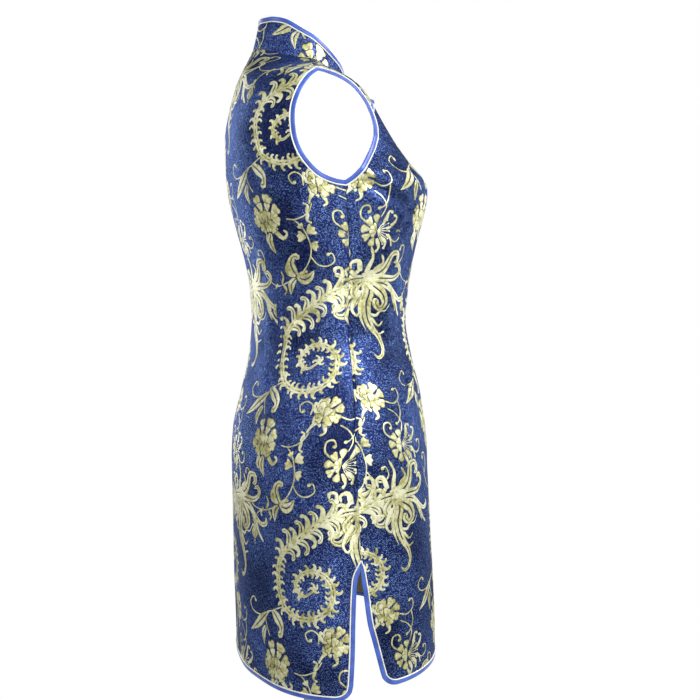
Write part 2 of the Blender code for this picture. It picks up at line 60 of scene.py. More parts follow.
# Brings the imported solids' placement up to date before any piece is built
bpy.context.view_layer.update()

# Rings of the body surface, hem to neck
Z, HALF_WIDTH, FRONT, BACK, FRONT_DROP, BACK_RISE, SQUARE, FORM_INSET = range(8)
RINGS = np.array(
    [
        # z, half width, front reach, back reach, front drop, back rise, squareness, form inset
        (0.560, 0.1865, 0.1620, 0.0950, 0.000, 0.000, 2.15, 0.0060),
        (0.600, 0.1860, 0.1600, 0.0960, 0.000, 0.000, 2.15, 0.0060),
        (0.680, 0.1840, 0.1580, 0.0980, 0.000, 0.000, 2.15, 0.0060),
        (0.760, 0.1810, 0.1550, 0.0995, 0.000, 0.000, 2.12, 0.0058),
        (0.840, 0.1740, 0.1520, 0.1010, 0.000, 0.000, 2.10, 0.0052),
        (0.880, 0.1660, 0.1490, 0.0990, 0.000, 0.000, 2.10, 0.0052),
        (0.930, 0.1510, 0.1425, 0.0880, 0.000, 0.000, 2.08, 0.0055),
        (0.980, 0.1350, 0.1310, 0.0775, 0.000, 0.000, 2.06, 0.0060),
        (1.020, 0.1270, 0.1250, 0.0745, 0.000, 0.000, 2.05, 0.0060),
        (1.060, 0.1280, 0.1275, 0.0760, 0.000, 0.000, 2.08, 0.0056),
        (1.100, 0.1330, 0.1330, 0.0830, 0.000, 0.000, 2.15, 0.0050),
        (1.150, 0.1400, 0.1385, 0.0960, 0.000, 0.000, 2.25, 0.0036),
        (1.185, 0.1440, 0.1405, 0.1035, 0.000, 0.000, 2.30, 0.0030),
        (1.220, 0.1460, 0.1205, 0.1065, 0.004, 0.000, 2.30, 0.0029),
        (1.255, 0.1440, 0.1020, 0.1070, 0.012, 0.000, 2.30, 0.0028),
        (1.290, 0.1330, 0.0860, 0.1010, 0.024, 0.002, 2.30, 0.0025),
        (1.318, 0.1130, 0.0735, 0.0915, 0.035, 0.007, 2.30, 0.0022),
        (1.331, 0.0880, 0.0620, 0.0825, 0.041, 0.013, 2.15, 0.0022),
        (1.341, 0.0660, 0.0550, 0.0750, 0.044, 0.018, 2.05, 0.0030),
        (1.345, 0.0580, 0.0510, 0.0720, 0.046, 0.020, 2.00, 0.0055),
    ]
)
TOP_RING = len(RINGS) - 1.0

# Soft folds of the cloth, as strokes across the body surface unrolled at one radius
STROKE_RADIUS = 0.14
STROKES = np.array(
    [
        # angle and z at the start, angle and z at the end, half width, height
        (-25, 1.186, -27, 1.182, 0.050, 0.0095),
        (25, 1.186, 27, 1.182, 0.050, 0.0095),
        (-48, 1.105, -128, 1.028, 0.015, -0.0024),
        (-40, 1.075, -105, 1.012, 0.011, 0.0014),
        (-62, 1.000, -150, 0.992, 0.011, -0.0020),
        (-95, 0.972, -152, 0.966, 0.010, 0.0012),
        (-48, 0.985, -70, 0.895, 0.012, -0.0018),
        (-90, 0.985, -90, 0.890, 0.009, -0.0014),
        (-130, 0.955, -128, 0.870, 0.012, 0.0012),
        (-30, 0.830, -24, 0.640, 0.024, -0.0022),
        (-132, 0.820, -140, 0.610, 0.026, -0.0022),
        (52, 1.098, 124, 1.036, 0.014, -0.0022),
        (66, 1.004, 146, 0.998, 0.012, -0.0019),
        (50, 0.980, 68, 0.900, 0.012, -0.0017),
        (90, 0.980, 90, 0.892, 0.009, -0.0013),
        (34, 0.820, 30, 0.630, 0.025, -0.0021),
        (136, 0.810, 148, 0.612, 0.024, -0.0020),
    ]
)

# Edges of the panels: ring number and angle from the front centre
UNDERARM_RING, SHOULDER_RING, SLIT_RING, NECK_RING = 11.87, 16.35, 2.85, 18.98
SLIT_MIDDLE_Y = -0.0278
ARMHOLE_FRONT = np.array(
    [
        (11.87, 90.0), (12.07, 85.7), (12.30, 81.7), (12.55, 77.8), (13.17, 69.8), (13.80, 63.6),
        (14.21, 61.3), (14.56, 60.5), (15.08, 61.4), (15.54, 66.2), (15.80, 72.2), (16.02, 79.6),
        (16.20, 85.0), (16.35, 90.0),
    ]
)
ARMHOLE_BACK = np.array(
    [
        (11.87, 90.0), (11.94, 96.0), (12.15, 102.5), (12.50, 106.2), (12.98, 108.2),
        (13.48, 108.7), (14.03, 107.6), (14.57, 105.7), (15.20, 101.7), (15.75, 96.6),
        (16.05, 93.0), (16.35, 90.0),
    ]
)
SLIT_FRONT = np.array(
    [(1.16, 81.6), (1.49, 83.6), (1.72, 85.1), (1.96, 86.6), (2.40, 87.8), (2.70, 88.9), (2.85, 90.0)]
)
SLIT_BACK = np.array(
    [(1.10, 96.0), (1.52, 95.2), (1.93, 94.7), (2.36, 94.0), (2.64, 93.0), (2.85, 90.0)]
)
DIAGONAL = np.array(
    [
        (14.56, 60.5), (15.08, 52.5), (15.54, 43.5), (16.02, 32.5), (16.35, 25.0), (16.90, 13.0),
        (17.60, 4.0), (18.30, 0.0), (19.00, -2.0),
    ]
)
# Rings where the diagonal edge leaves the armhole, its binding starts and the chest piece starts
DIAGONAL_RING, DIAGONAL_BOUND_RING, CHEST_RING = 14.56, 14.62, 14.84
# Height and width of the rounded corner between hem and slit, and half a panel's width at the hem
CORNER_RISE, CORNER_ARC, HEM_HALF_WIDTH = 0.014, 0.017, 0.27
HEM_FRONT, HEM_BACK = 0.604, 0.590
# Rows of faces: beside the slit, up to the underarm, up to the shoulder and up to the neck
SLIT_ROWS, SIDE_ROWS, ARM_ROWS, YOKE_ROWS = 44, 120, 64, 26
# Columns and rows of faces of the chest piece, and how far it ends short of the diagonal edge
CHEST_COLUMNS, CHEST_ROWS, CHEST_GAP = 44, 56, 0.0030

# Where the collar's front edge stands, in degrees from the front centre
COLLAR_FRONT_ANGLE = 7.6
# How far the collar draws in for each unit of rise, at its side, front and back
COLLAR_LEAN = (0.15, 0.16, 0.24)
# Its columns and rows of faces, its thickness and its gap above the seam
COLLAR_COLUMNS, COLLAR_ROWS, COLLAR_WALL, COLLAR_SEAM = 150, 12, 0.0014, 0.0003
# Its slight waviness: height, and waves for each turn
COLLAR_WAVE, COLLAR_WAVES = 0.0005, 9
# Height of its cut edge above the seam
COLLAR_EDGE = np.array(
    [
        # angle from the front centre, rise
        (7.6, 0.0120), (9.0, 0.0175), (12.0, 0.0225), (17.0, 0.0258), (25.0, 0.0276), (40.0, 0.0246),
        (56.0, 0.0204), (72.0, 0.0212), (87.0, 0.0268), (106.0, 0.0345), (122.0, 0.0388),
        (140.0, 0.0375), (157.0, 0.0340), (180.0, 0.0322),
    ]
)

# Waist darts, seen as a line where the pattern jumps: angle, ring at each end and the middle, intake
DARTS = {
    "back": (45.0, 4.9, 8.2, 10.9, 0.024),
    "front": (46.0, 4.6, 7.6, 11.2, 0.016),
}

# Where the front's pattern is eased up: heights in the drawing and on the panel, in millimetres
FRONT_EASE = ([-100, 38, 100, 251, 306, 367, 519, 1300], [-58, 68, 124, 257, 317, 374, 519, 1300])

# Dress form: height of its underside, rounding of its lower edge and its columns of faces
FORM_BOTTOM, FORM_EDGE, FORM_COLUMNS = 0.790, 0.012, 128
FORM_NECK = np.array(
    [
        # half width, front reach, back reach, height at the side, front and back
        (0.0525, 0.0460, 0.0665, 1.3450, 1.2990, 1.3650),
        (0.0490, 0.0410, 0.0590, 1.3620, 1.3340, 1.3770),
        (0.0475, 0.0395, 0.0565, 1.3920, 1.3780, 1.3980),
        (0.0468, 0.0388, 0.0556, 1.4270, 1.4270, 1.4270),
        (0.0464, 0.0384, 0.0552, 1.4300, 1.4300, 1.4300),
        (0.0450, 0.0370, 0.0538, 1.4320, 1.4320, 1.4320),
    ]
)


def rgb(red, green, blue):
    """A colour as seen, 0 to 255, as the linear values that a shader takes."""
    seen = np.array([red, green, blue]) / 255.0
    linear = np.where(seen <= 0.04045, seen / 12.92, ((seen + 0.055) / 1.055) ** 2.4)
    return (*linear.tolist(), 1.0)


# Body surface


def smooth_rows(table, at):
    """Rows of a table at fractional row numbers, by a monotone cubic through each column."""
    steps = np.diff(table, axis=0)
    before, after = steps[:-1], steps[1:]
    same = before * after > 0
    inner = np.where(same, 2.0 * before * after / np.where(same, before + after, 1.0), 0.0)
    slopes = np.concatenate([steps[:1], inner, steps[-1:]])
    at = np.clip(np.asarray(at, float), 0.0, len(table) - 1.0)
    low = np.minimum(at.astype(int), len(table) - 2)
    x = (at - low)[..., None]
    return (
        (1 + 2 * x) * (1 - x) ** 2 * table[low]
        + x * (1 - x) ** 2 * slopes[low]
        + x * x * (3 - 2 * x) * table[low + 1]
        - x * x * (1 - x) * slopes[low + 1]
    )


def superellipse(angle, half_width, front, back, square):
    """Plan position at each angle: |x/half width|^n + |y/depth|^n = 1, with depth half of both reaches."""
    side, ahead = np.sin(angle), np.cos(angle)
    depth = (front + back) / 2
    sum_of_powers = (np.abs(side) / half_width) ** square + (np.abs(ahead) / depth) ** square
    reach = sum_of_powers ** (-1 / square)
    return reach * side, (back - front) / 2 - reach * ahead


def body_point(degrees, ring):
    """Point of the plain body: the ring's superellipse, its front lowered and its back raised."""
    degrees, ring = np.broadcast_arrays(np.asarray(degrees, float), np.asarray(ring, float))
    angle = np.radians(degrees)
    row = smooth_rows(RINGS, ring)
    plan = (row[..., column] for column in (HALF_WIDTH, FRONT, BACK, SQUARE))
    x, y = superellipse(angle, *plan)
    ahead = np.cos(angle)
    z = row[..., Z] - row[..., FRONT_DROP] * np.maximum(ahead, 0) ** 2
    return np.stack([x, y, z + row[..., BACK_RISE] * np.maximum(-ahead, 0) ** 2], axis=-1)


def body_normal(degrees, ring):
    """Unit normal of the plain body, outwards: the cross product of two central differences."""
    degrees, ring = np.broadcast_arrays(np.asarray(degrees, float), np.asarray(ring, float))
    around = body_point(degrees + 0.2, ring) - body_point(degrees - 0.2, ring)
    above, below = np.minimum(ring + 0.02, TOP_RING), np.maximum(ring - 0.02, 0)
    normal = np.cross(around, body_point(degrees, above) - body_point(degrees, below))
    return normal / np.linalg.norm(normal, axis=-1, keepdims=True)


def fold_height(degrees, z, strokes=STROKES):
    """Height of the soft folds: the sum of bells across the distance to each stroke's line."""
    degrees = (np.asarray(degrees, float) + 180.0) % 360.0 - 180.0
    across = np.radians(degrees) * STROKE_RADIUS
    total = np.zeros(np.shape(across + z))
    for angle_a, z_a, angle_b, z_b, half_width, height in strokes:
        start = np.array([math.radians(angle_a) * STROKE_RADIUS, z_a])
        run = np.array([math.radians(angle_b) * STROKE_RADIUS, z_b]) - start
        dx, dz = across - start[0], z - start[1]
        along = np.clip((dx * run[0] + dz * run[1]) / (run @ run), 0.0, 1.0)
        away = (dx - along * run[0]) ** 2 + (dz - along * run[1]) ** 2
        total += height * np.exp(-away / half_width**2)
    return total


def cloth_point(degrees, ring, out=0.0):
    """Point of the cloth's outer face, moved out along the body's normal by its folds and `out`."""
    point = body_point(degrees, ring)
    lift = fold_height(degrees, point[..., 2]) + out
    return point + body_normal(degrees, ring) * lift[..., None]


def collar_base_height(degrees):
    """Height of the collar's seam: the last ring's, lowered in front and raised behind."""
    ahead = np.cos(np.radians(degrees))
    row = RINGS[-1]
    front, back = np.maximum(ahead, 0) ** 2, np.maximum(-ahead, 0) ** 2
    return row[Z] - row[FRONT_DROP] * front + row[BACK_RISE] * back


def collar_point(degrees, rise, out=0.0):
    """Point of the collar: the last ring's ellipse, drawn in as it rises above its seam."""
    degrees, rise = np.broadcast_arrays(np.asarray(degrees, float), np.asarray(rise, float))
    row, (side, front, back) = RINGS[-1], COLLAR_LEAN
    x, y = superellipse(
        np.radians(degrees),
        row[HALF_WIDTH] - side * rise + out,
        row[FRONT] - front * rise + out,
        row[BACK] - back * rise + out,
        row[SQUARE],
    )
    return np.stack([x, y, collar_base_height(degrees) + rise], axis=-1)


# Panel edges


def through(points, steps=6):
    """A Catmull-Rom path through points, with `steps` stations between each two."""
    points = np.asarray(points, float)
    ends = np.vstack([2 * points[0] - points[1], points, 2 * points[-1] - points[-2]])
    x = np.linspace(0, 1, steps, endpoint=False)[:, None, None]
    a, b, c, d = ends[:-3], ends[1:-2], ends[2:-1], ends[3:]
    square, cube = 2 * a - 5 * b + 4 * c - d, 3 * b - a - 3 * c + d
    path = 0.5 * (2 * b + (c - a) * x + square * x**2 + cube * x**3)
    return np.vstack([np.swapaxes(path, 0, 1).reshape(-1, 2), points[-1:]])


def rounded(table):
    """An edge's table as a dense curve whose first column never falls."""
    curve = through(table, 24)
    curve[:, 0] = np.maximum.accumulate(curve[:, 0])
    return curve


ARM_FRONT, ARM_BACK = rounded(ARMHOLE_FRONT), rounded(ARMHOLE_BACK)
CUT_FRONT, CUT_BACK = rounded(SLIT_FRONT), rounded(SLIT_BACK)
DIAGONAL_CURVE, COLLAR_CURVE = rounded(DIAGONAL), rounded(COLLAR_EDGE)


def edge_angle(curve, ring):
    """Angle of a panel edge at a ring number."""
    return np.interp(ring, curve[:, 0], curve[:, 1])


def half_angle(armhole, slit, ring):
    """Angle from the front centre of a panel's side edge."""
    ring = np.asarray(ring, float)
    side = np.where(ring < SLIT_RING, edge_angle(slit, ring), 90.0)
    inside = (ring > UNDERARM_RING) & (ring < SHOULDER_RING)
    return np.where(inside, edge_angle(armhole, ring), side)


def ring_at_height(z):
    """Ring number at a height, where the rings are level."""
    rings = np.linspace(0.0, 12.0, 961)
    return np.interp(z, smooth_rows(RINGS, rings)[:, Z], rings)


def hem_rings(share, hem):
    """Ring number of the hem at each column: level, and rising in a quarter round to the slit."""
    turn = 1 - np.clip((1 - np.abs(share)) * HEM_HALF_WIDTH / CORNER_ARC, 0.0, 1.0)
    return ring_at_height(hem + CORNER_RISE * (1 - np.sqrt(np.maximum(1 - turn**2, 0.0))))


def spread(columns):
    """Columns from -1 to 1, closer together at the sides."""
    even = np.linspace(-1.0, 1.0, columns + 1)
    return 0.4 * even + 0.6 * np.sin(even * math.pi / 2)


def side_angle(behind, ring):
    """Angle of a panel's side edge, counted from the panel's own centre line."""
    if behind:
        return 180.0 - half_angle(ARM_BACK, CUT_BACK, ring)
    return half_angle(ARM_FRONT, CUT_FRONT, ring)


def panel_grid(behind, columns):
    """Angles and rings of the front or back, hem to neck, as two fine grids."""
    share = spread(columns)
    low = hem_rings(share, HEM_BACK if behind else HEM_FRONT)
    beside_slit = low + (SLIT_RING - low) * np.linspace(0.0, 1.0, SLIT_ROWS + 1)[:, None]
    levels = np.concatenate(
        [
            np.linspace(SLIT_RING, UNDERARM_RING, SIDE_ROWS + 1)[1:],
            np.linspace(UNDERARM_RING, SHOULDER_RING, ARM_ROWS + 1)[1:],
            np.linspace(SHOULDER_RING, NECK_RING, YOKE_ROWS + 1)[1:],
        ]
    )
    rings = np.concatenate([beside_slit, np.repeat(levels[:, None], len(share), axis=1)])
    return share[None, :] * side_angle(behind, rings[:, 0])[:, None], rings


def front_grid(columns):
    """The front's grid, its right edge moved in to the diagonal above the middle of the armhole."""
    angles, rings = panel_grid(False, columns)
    share = (spread(columns) + 1) / 2
    ring = rings[:, :1]
    low = -edge_angle(DIAGONAL_CURVE, ring)
    diagonal = low + (angles[:, -1:] - low) * share
    return np.where(ring > DIAGONAL_RING, diagonal, angles), rings


def chest_grid():
    """Angles and rings of the piece above the diagonal edge, between armhole, shoulder and neck.

    It ends 3 mm short of the diagonal, measured square to it: its slope is taken from the edge's
    turn for each ring and from the body's length for each degree and each ring.
    """
    ring = np.linspace(CHEST_RING, NECK_RING, CHEST_ROWS + 1)
    middle = -edge_angle(DIAGONAL_CURVE, ring)
    along = np.linalg.norm(body_point(middle + 0.5, ring) - body_point(middle - 0.5, ring), axis=1)
    up = np.linalg.norm(body_point(middle, ring + 0.02) - body_point(middle, ring - 0.02), axis=1) / 0.04
    turn = (edge_angle(DIAGONAL_CURVE, ring + 0.3) - edge_angle(DIAGONAL_CURVE, ring - 0.3)) / 0.6
    outer = -side_angle(False, ring)
    inner = np.maximum(middle - CHEST_GAP * np.sqrt(1 + (turn * along / up) ** 2) / along, outer + 1.2)
    share = np.linspace(0.0, 1.0, CHEST_COLUMNS + 1)
    angles = outer[:, None] + (inner - outer)[:, None] * share
    return angles, np.repeat(ring[:, None], CHEST_COLUMNS + 1, axis=1)


# Flat pattern of a panel


class Wrap:
    """Wraps the flat pattern of a panel on the body.

    u runs across from the centre line along each ring, less the dart's intake beyond the dart. v
    runs up a meridian from ring 0. Both are in millimetres, and both are read from tables.
    """

    def __init__(self, behind):
        self.behind = behind
        self.dart = DARTS["back" if behind else "front"]
        self.rings = np.linspace(0.0, TOP_RING, 571)
        angles = np.linspace(0.0, 128.0, 257)
        points = body_point(angles + (180.0 if behind else 0.0), self.rings[:, None])
        steps = np.linalg.norm(np.diff(points, axis=1), axis=2) * 1000
        arcs = np.concatenate([np.zeros((len(self.rings), 1)), np.cumsum(steps, axis=1)], axis=1)
        self.arcs, self.angles = arcs, angles
        self.reach = np.arange(0.0, 341.0)
        self.turned = np.array([np.interp(self.reach, row, angles) for row in arcs])
        meridian = body_point(118.0 if behind else 60.0, self.rings)
        self.climb = distances(meridian) * 1000

    def intake(self, ring):
        """Width taken in by the dart: straight up to its middle and straight down again."""
        _, low, middle, high, most = self.dart
        return 1000 * most * np.interp(ring, [low, middle, high], [0.0, 1.0, 0.0])

    def lookup(self, table, ring, column):
        """A table's value at a ring number and a column number, straight between its entries."""
        row = np.clip(ring / self.rings[1], 0, len(self.rings) - 1.001)
        column = np.clip(column, 0, table.shape[1] - 1.001)
        i, j = row.astype(int), column.astype(int)
        x, y = row - i, column - j
        low = table[i, j] * (1 - y) + table[i, j + 1] * y
        return low * (1 - x) + (table[i + 1, j] * (1 - y) + table[i + 1, j + 1] * y) * x

    def arc(self, angle, ring):
        """Distance along the ring from the centre line to an angle."""
        return self.lookup(self.arcs, ring, np.abs(angle) / self.angles[1])

    def on_body(self, u, v):
        """Angle from the panel's centre line and ring number of a point of the flat pattern."""
        ring = np.interp(v if self.behind else np.interp(v, *FRONT_EASE), self.climb, self.rings)
        dart = self.arc(self.dart[0], ring)
        reach = np.abs(u)
        past = np.maximum(reach - self.intake(ring), dart)
        reach = np.where(reach > dart, past, reach)
        return np.sign(u) * self.lookup(self.turned, ring, reach), ring

    def flat(self, angle, ring):
        """The flat pattern's u and v at an angle and ring number."""
        reach = self.arc(angle, ring)
        dart = self.arc(self.dart[0], ring)
        reach = reach + np.where(reach > dart, self.intake(ring), 0.0)
        return np.sign(angle) * reach, np.interp(ring, self.rings, self.climb)


# Rough millimetres for a degree at the side and at the diagonal, and for a ring there and elsewhere
SIDE_DEGREE, DIAGONAL_DEGREE, CHEST_DEGREE = 2.2, 1.9, 1.6
HEM_STEP, NECK_STEP, CHEST_STEP, MEAN_STEP = 80, 12, 30, 50.0
FAR_AWAY = 99.0


def side_room(panel, angle, ring):
    """Millimetres, roughly, from a point to the nearest edge of its panel, and negative outside it."""
    behind = panel == "back"
    side = side_angle(behind, ring)
    hem = hem_rings(np.clip(angle / side, -1, 1), HEM_BACK if behind else HEM_FRONT)
    diagonal = edge_angle(DIAGONAL_CURVE, ring)
    room = [(side - np.abs(angle)) * SIDE_DEGREE, (ring - hem) * HEM_STEP, (NECK_RING - ring) * NECK_STEP]
    if panel == "front":
        room.append(np.where(ring > DIAGONAL_RING, (angle + diagonal) * DIAGONAL_DEGREE, FAR_AWAY))
    if panel == "chest":
        room.append((-diagonal - 2.5 - angle) * CHEST_DEGREE)
        room.append((ring - CHEST_RING) * CHEST_STEP)
    return np.min(room, axis=0)


# Surface relief shared by the cloth and the figures on it

CREASES = np.array(
    [
        # angle and z at the start, angle and z at the end, half width, height
        (-130, 1.105, -131, 0.935, 0.0042, -0.0011),
        (130, 1.105, 131, 0.935, 0.0042, -0.0011),
        (-50, 1.100, -56, 0.900, 0.0042, -0.0010),
        (50, 1.100, 56, 0.900, 0.0042, -0.0010),
        (-62, 1.110, -48, 1.165, 0.0060, -0.0012),
        (-74, 1.090, -102, 1.060, 0.0070, 0.0010),
        (-80, 1.050, -118, 1.018, 0.0065, -0.0012),
        (-96, 1.000, -132, 1.004, 0.0060, 0.0009),
        (-84, 0.990, -60, 1.010, 0.0070, 0.0010),
        (-94, 0.955, -124, 0.935, 0.0080, -0.0010),
        (-88, 0.930, -64, 0.905, 0.0080, -0.0009),
        (-96, 0.745, -112, 0.700, 0.0100, 0.0010),
        (-86, 0.735, -72, 0.690, 0.0100, 0.0009),
        (70, 1.098, 98, 1.066, 0.0070, 0.0010),
        (84, 1.052, 116, 1.022, 0.0065, -0.0012),
        (92, 1.002, 128, 1.000, 0.0060, 0.0009),
        (82, 0.985, 58, 1.012, 0.0070, 0.0009),
        (92, 0.950, 120, 0.930, 0.0080, -0.0010),
        (90, 0.740, 108, 0.696, 0.0100, 0.0010),
        (160, 1.040, 176, 1.010, 0.0080, -0.0010),
        (-160, 1.045, -174, 1.018, 0.0080, -0.0010),
        (-20, 1.075, 18, 1.060, 0.0090, -0.0009),
        (150, 1.250, 128, 1.215, 0.0090, 0.0008),
        (-150, 1.252, -126, 1.218, 0.0090, 0.0008),
        # crinkles from the underarm over the bust
        (-84, 1.200, -56, 1.176, 0.0055, 0.0016),
        (-82, 1.186, -52, 1.158, 0.0050, -0.0016),
        (-80, 1.170, -50, 1.142, 0.0055, 0.0015),
        (-80, 1.150, -54, 1.122, 0.0055, -0.0014),
        (-66, 1.216, -44, 1.205, 0.0050, -0.0014),
        (-64, 1.236, -46, 1.226, 0.0055, 0.0013),
        (-76, 1.128, -60, 1.100, 0.0060, 0.0013),
        (-100, 1.150, -126, 1.120, 0.0070, -0.0010),
        (82, 1.198, 55, 1.172, 0.0055, 0.0015),
        (80, 1.180, 52, 1.150, 0.0050, -0.0015),
        (78, 1.160, 54, 1.130, 0.0060, 0.0013),
        (102, 1.148, 128, 1.118, 0.0070, -0.0010),
        # short crosswise ones at the waist
        (-100, 1.038, -146, 1.034, 0.0040, 0.0011),
        (-104, 1.026, -140, 1.020, 0.0040, -0.0011),
        (-58, 1.040, -34, 1.044, 0.0045, 0.0012),
        (-60, 1.024, -30, 1.026, 0.0045, -0.0012),
        (-62, 0.962, -40, 0.950, 0.0060, 0.0012),
        (-60, 0.946, -36, 0.930, 0.0060, -0.0012),
        (-98, 0.918, -118, 0.900, 0.0060, 0.0011),
        (-100, 0.880, -128, 0.872, 0.0070, -0.0010),
        (100, 1.036, 146, 1.032, 0.0045, 0.0011),
        (60, 1.036, 34, 1.042, 0.0045, 0.0012),
        (60, 0.956, 38, 0.944, 0.0060, -0.0012),
        (98, 0.914, 120, 0.898, 0.0060, 0.0011),
    ]
)


def relief(degrees, ring):
    """The folds, the fine creases and darts, the side seams and a slow sway of the skirt.

    A seam is a groove with a ridge 5 mm from it, and fades out at the slit and the underarm. The
    sway is a product of two sines that grows towards the hem.
    """
    z = body_point(degrees, ring)[..., 2]
    away = np.abs((np.abs((degrees + 180.0) % 360.0 - 180.0) - 90.0) * 2.3)
    seam = np.clip((ring - SLIT_RING) * 6, 0, 1) * np.clip((UNDERARM_RING - ring) * 6, 0, 1)
    roll = -0.0007 * np.exp(-((away / 2.2) ** 2)) + 0.0003 * np.exp(-(((away - 5) / 3.0) ** 2))
    across = np.radians(degrees)
    waves = np.sin(3 * across + 21 * z) * np.sin(7 * across - 13 * z)
    sway = 0.0006 * waves * np.clip((0.86 - z) / 0.25, 0, 1)
    return fold_height(degrees, z) + fold_height(degrees, z, CREASES) + seam * roll + sway


def on_cloth(degrees, ring, out=0.0):
    """Point of the finished cloth's outer face, lifted off it by `out`."""
    height = relief(degrees, ring) + out
    return body_point(degrees, ring) + body_normal(degrees, ring) * height[..., None]


# Meshes


def grid_faces(rows, columns, wrap=False):
    """Quads of a grid of points, turned so that rows going up and columns going to +angle face out."""
    index = np.arange(rows * columns).reshape(rows, columns)
    if wrap:
        index = np.concatenate([index, index[:, :1]], axis=1)
    quads = np.stack([index[:-1, :-1], index[:-1, 1:], index[1:, 1:], index[1:, :-1]], axis=-1)
    return quads.reshape(-1, 4)


def make_piece(name, points, quads, materials, extra=(), uv=None, tone=None, replaces=(), slot=None):
    """Puts arrays of points and quads, and a few larger faces, into a new piece that rides the body."""
    points = np.asarray(points, float).reshape(-1, 3)
    mesh = bpy.data.meshes.new(name)
    mesh.from_pydata(points.tolist(), [], [*quads.tolist(), *extra])
    mesh.polygons.foreach_set("use_smooth", np.ones(len(mesh.polygons), bool))
    if uv is not None:
        loops = np.empty(len(mesh.loops), np.int32)
        mesh.loops.foreach_get("vertex_index", loops)
        layer = mesh.uv_layers.new(name="Flat")
        layer.data.foreach_set("uv", np.asarray(uv, np.float32).reshape(-1, 2)[loops].ravel())
    if tone is not None:
        field = mesh.attributes.new("tone", "FLOAT", "POINT")
        field.data.foreach_set("value", np.asarray(tone, np.float32).ravel())
    mesh.update()
    for material in materials:
        mesh.materials.append(material)
    obj = bpy.data.objects.new(name, mesh)
    bpy.context.scene.collection.objects.link(obj)
    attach(obj, BODY)
    if replaces:
        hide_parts(*replaces)
    return obj


def add_wall(obj, thickness):
    """Gives a sheet its thickness inwards. The inner face takes the second material."""
    wall = obj.modifiers.new("Cloth", "SOLIDIFY")
    wall.thickness, wall.offset, wall.use_even_offset = thickness, -1.0, True
    wall.material_offset = 1


def strip_frame(edge, normals, closed):
    """Directions square to a path and to the cloth's normals, mitred, with their lengthening."""
    if closed:
        ahead, behind = np.roll(edge, -1, axis=0) - edge, edge - np.roll(edge, 1, axis=0)
    else:
        ahead = np.diff(edge, axis=0, append=2 * edge[-1:] - edge[-2:-1])
        behind = np.diff(edge, axis=0, prepend=2 * edge[:1] - edge[1:2])
    sides = [np.cross(run, normals) for run in (ahead, behind)]
    sides = [side / np.linalg.norm(side, axis=1, keepdims=True) for side in sides]
    away = sides[0] + sides[1]
    away /= np.linalg.norm(away, axis=1, keepdims=True)
    return away, 1 / np.maximum((away * sides[0]).sum(axis=1, keepdims=True), 0.55)


def section(count, power):
    """Closed loop |x|^power + |y|^power = 1, as `count` points."""
    turn = np.linspace(0, 2 * math.pi, count, endpoint=False)
    x, y = np.cos(turn), np.sin(turn)
    size = (np.abs(x) ** power + np.abs(y) ** power) ** (-1 / power)
    return x * size, y * size


def carried(edge, normals, away, across, height):
    """A closed section carried along a path: across goes away from the edge and height goes outwards."""
    return edge[:, None] + away[:, None] * across[..., None] + normals[:, None] * height[..., None]


def tube_faces(count, around, closed):
    """Quads and end caps of a section carried along a path."""
    quads = grid_faces(count, around, wrap=True)
    if closed:
        last, first = np.arange(around) + around * (count - 1), np.arange(around)
        join = np.stack([last, np.roll(last, -1), np.roll(first, -1), first], axis=-1)
        return np.concatenate([quads, join]), []
    return quads, [list(range(around))[::-1], list(range(around * (count - 1), around * count))]


def add_carried(name, loops, closed, materials, **options):
    """A mesh of sections carried along a path, turned to face away from the sections' middles."""
    count, around = loops.shape[:2]
    quads, caps = tube_faces(count, around, closed)
    points = loops.reshape(-1, 3)
    middle = loops.mean(axis=1)
    if not closed:
        middle = (middle[:-1] + middle[1:]) / 2
    corners = points[quads]
    facing = np.cross(corners[:, 2] - corners[:, 0], corners[:, 3] - corners[:, 1])
    if (facing * (corners.mean(axis=1) - np.repeat(middle, around, axis=0))).sum() < 0:
        quads, caps = quads[:, ::-1], [cap[::-1] for cap in caps]
    return make_piece(name, points, quads, materials, extra=caps, **options)


# A binding's gap from the edge and its rise above the cloth, and the piping's overlap and rise
STRIP_GAP, STRIP_RISE, PIPING_LAP, PIPING_RISE = 0.0003, 0.0006, 0.0002, 0.0004


def add_binding(name, edge, normals, toward, sizes, materials, node, closed=False, keep=None):
    """A folded satin strip along a cut edge, on the side of `toward`, and a piping cord along the edge.

    The strip's section is a rounded flat loop from 0.3 mm to its width away from the edge. The cord
    is a round section that follows the edge itself and stands half its thickness above the cloth.
    `keep`, where given, holds the points back from the panel beside it.
    """
    away, mitre = strip_frame(edge, normals, closed)
    if (away * (toward - edge)).sum() < 0:
        away = -away

    def laid(across, height):
        shape = (len(edge), np.shape(across)[-1])
        across, height = np.broadcast_to(across, shape), np.broadcast_to(height, shape)
        loops = carried(edge, normals, away, across, height)
        return keep(loops) if keep else loops

    x, y = section(16, 3.0)
    width, thick, radius = sizes.binding_width, sizes.binding_thickness, sizes.piping_radius
    strip = laid(mitre * (STRIP_GAP + width * (0.5 + 0.5 * x)), STRIP_RISE - thick / 2 + thick / 2 * y)
    x, y = section(10, 2.0)
    piping = laid(-PIPING_LAP + radius * x, PIPING_RISE + radius * y)
    return [
        add_carried(name, strip, closed, [materials["binding"]], replaces=[node], slot="binding"),
        add_carried(f"{name}_piping", piping, closed, [materials["piping"]], slot="binding"),
    ]


# Woven figures, drawn flat in millimetres, x across and y up

# Height of a figure's edge, just under the cloth's face, and of a petal's middle
EDGE, PETAL_CROWN = -0.07, 0.24
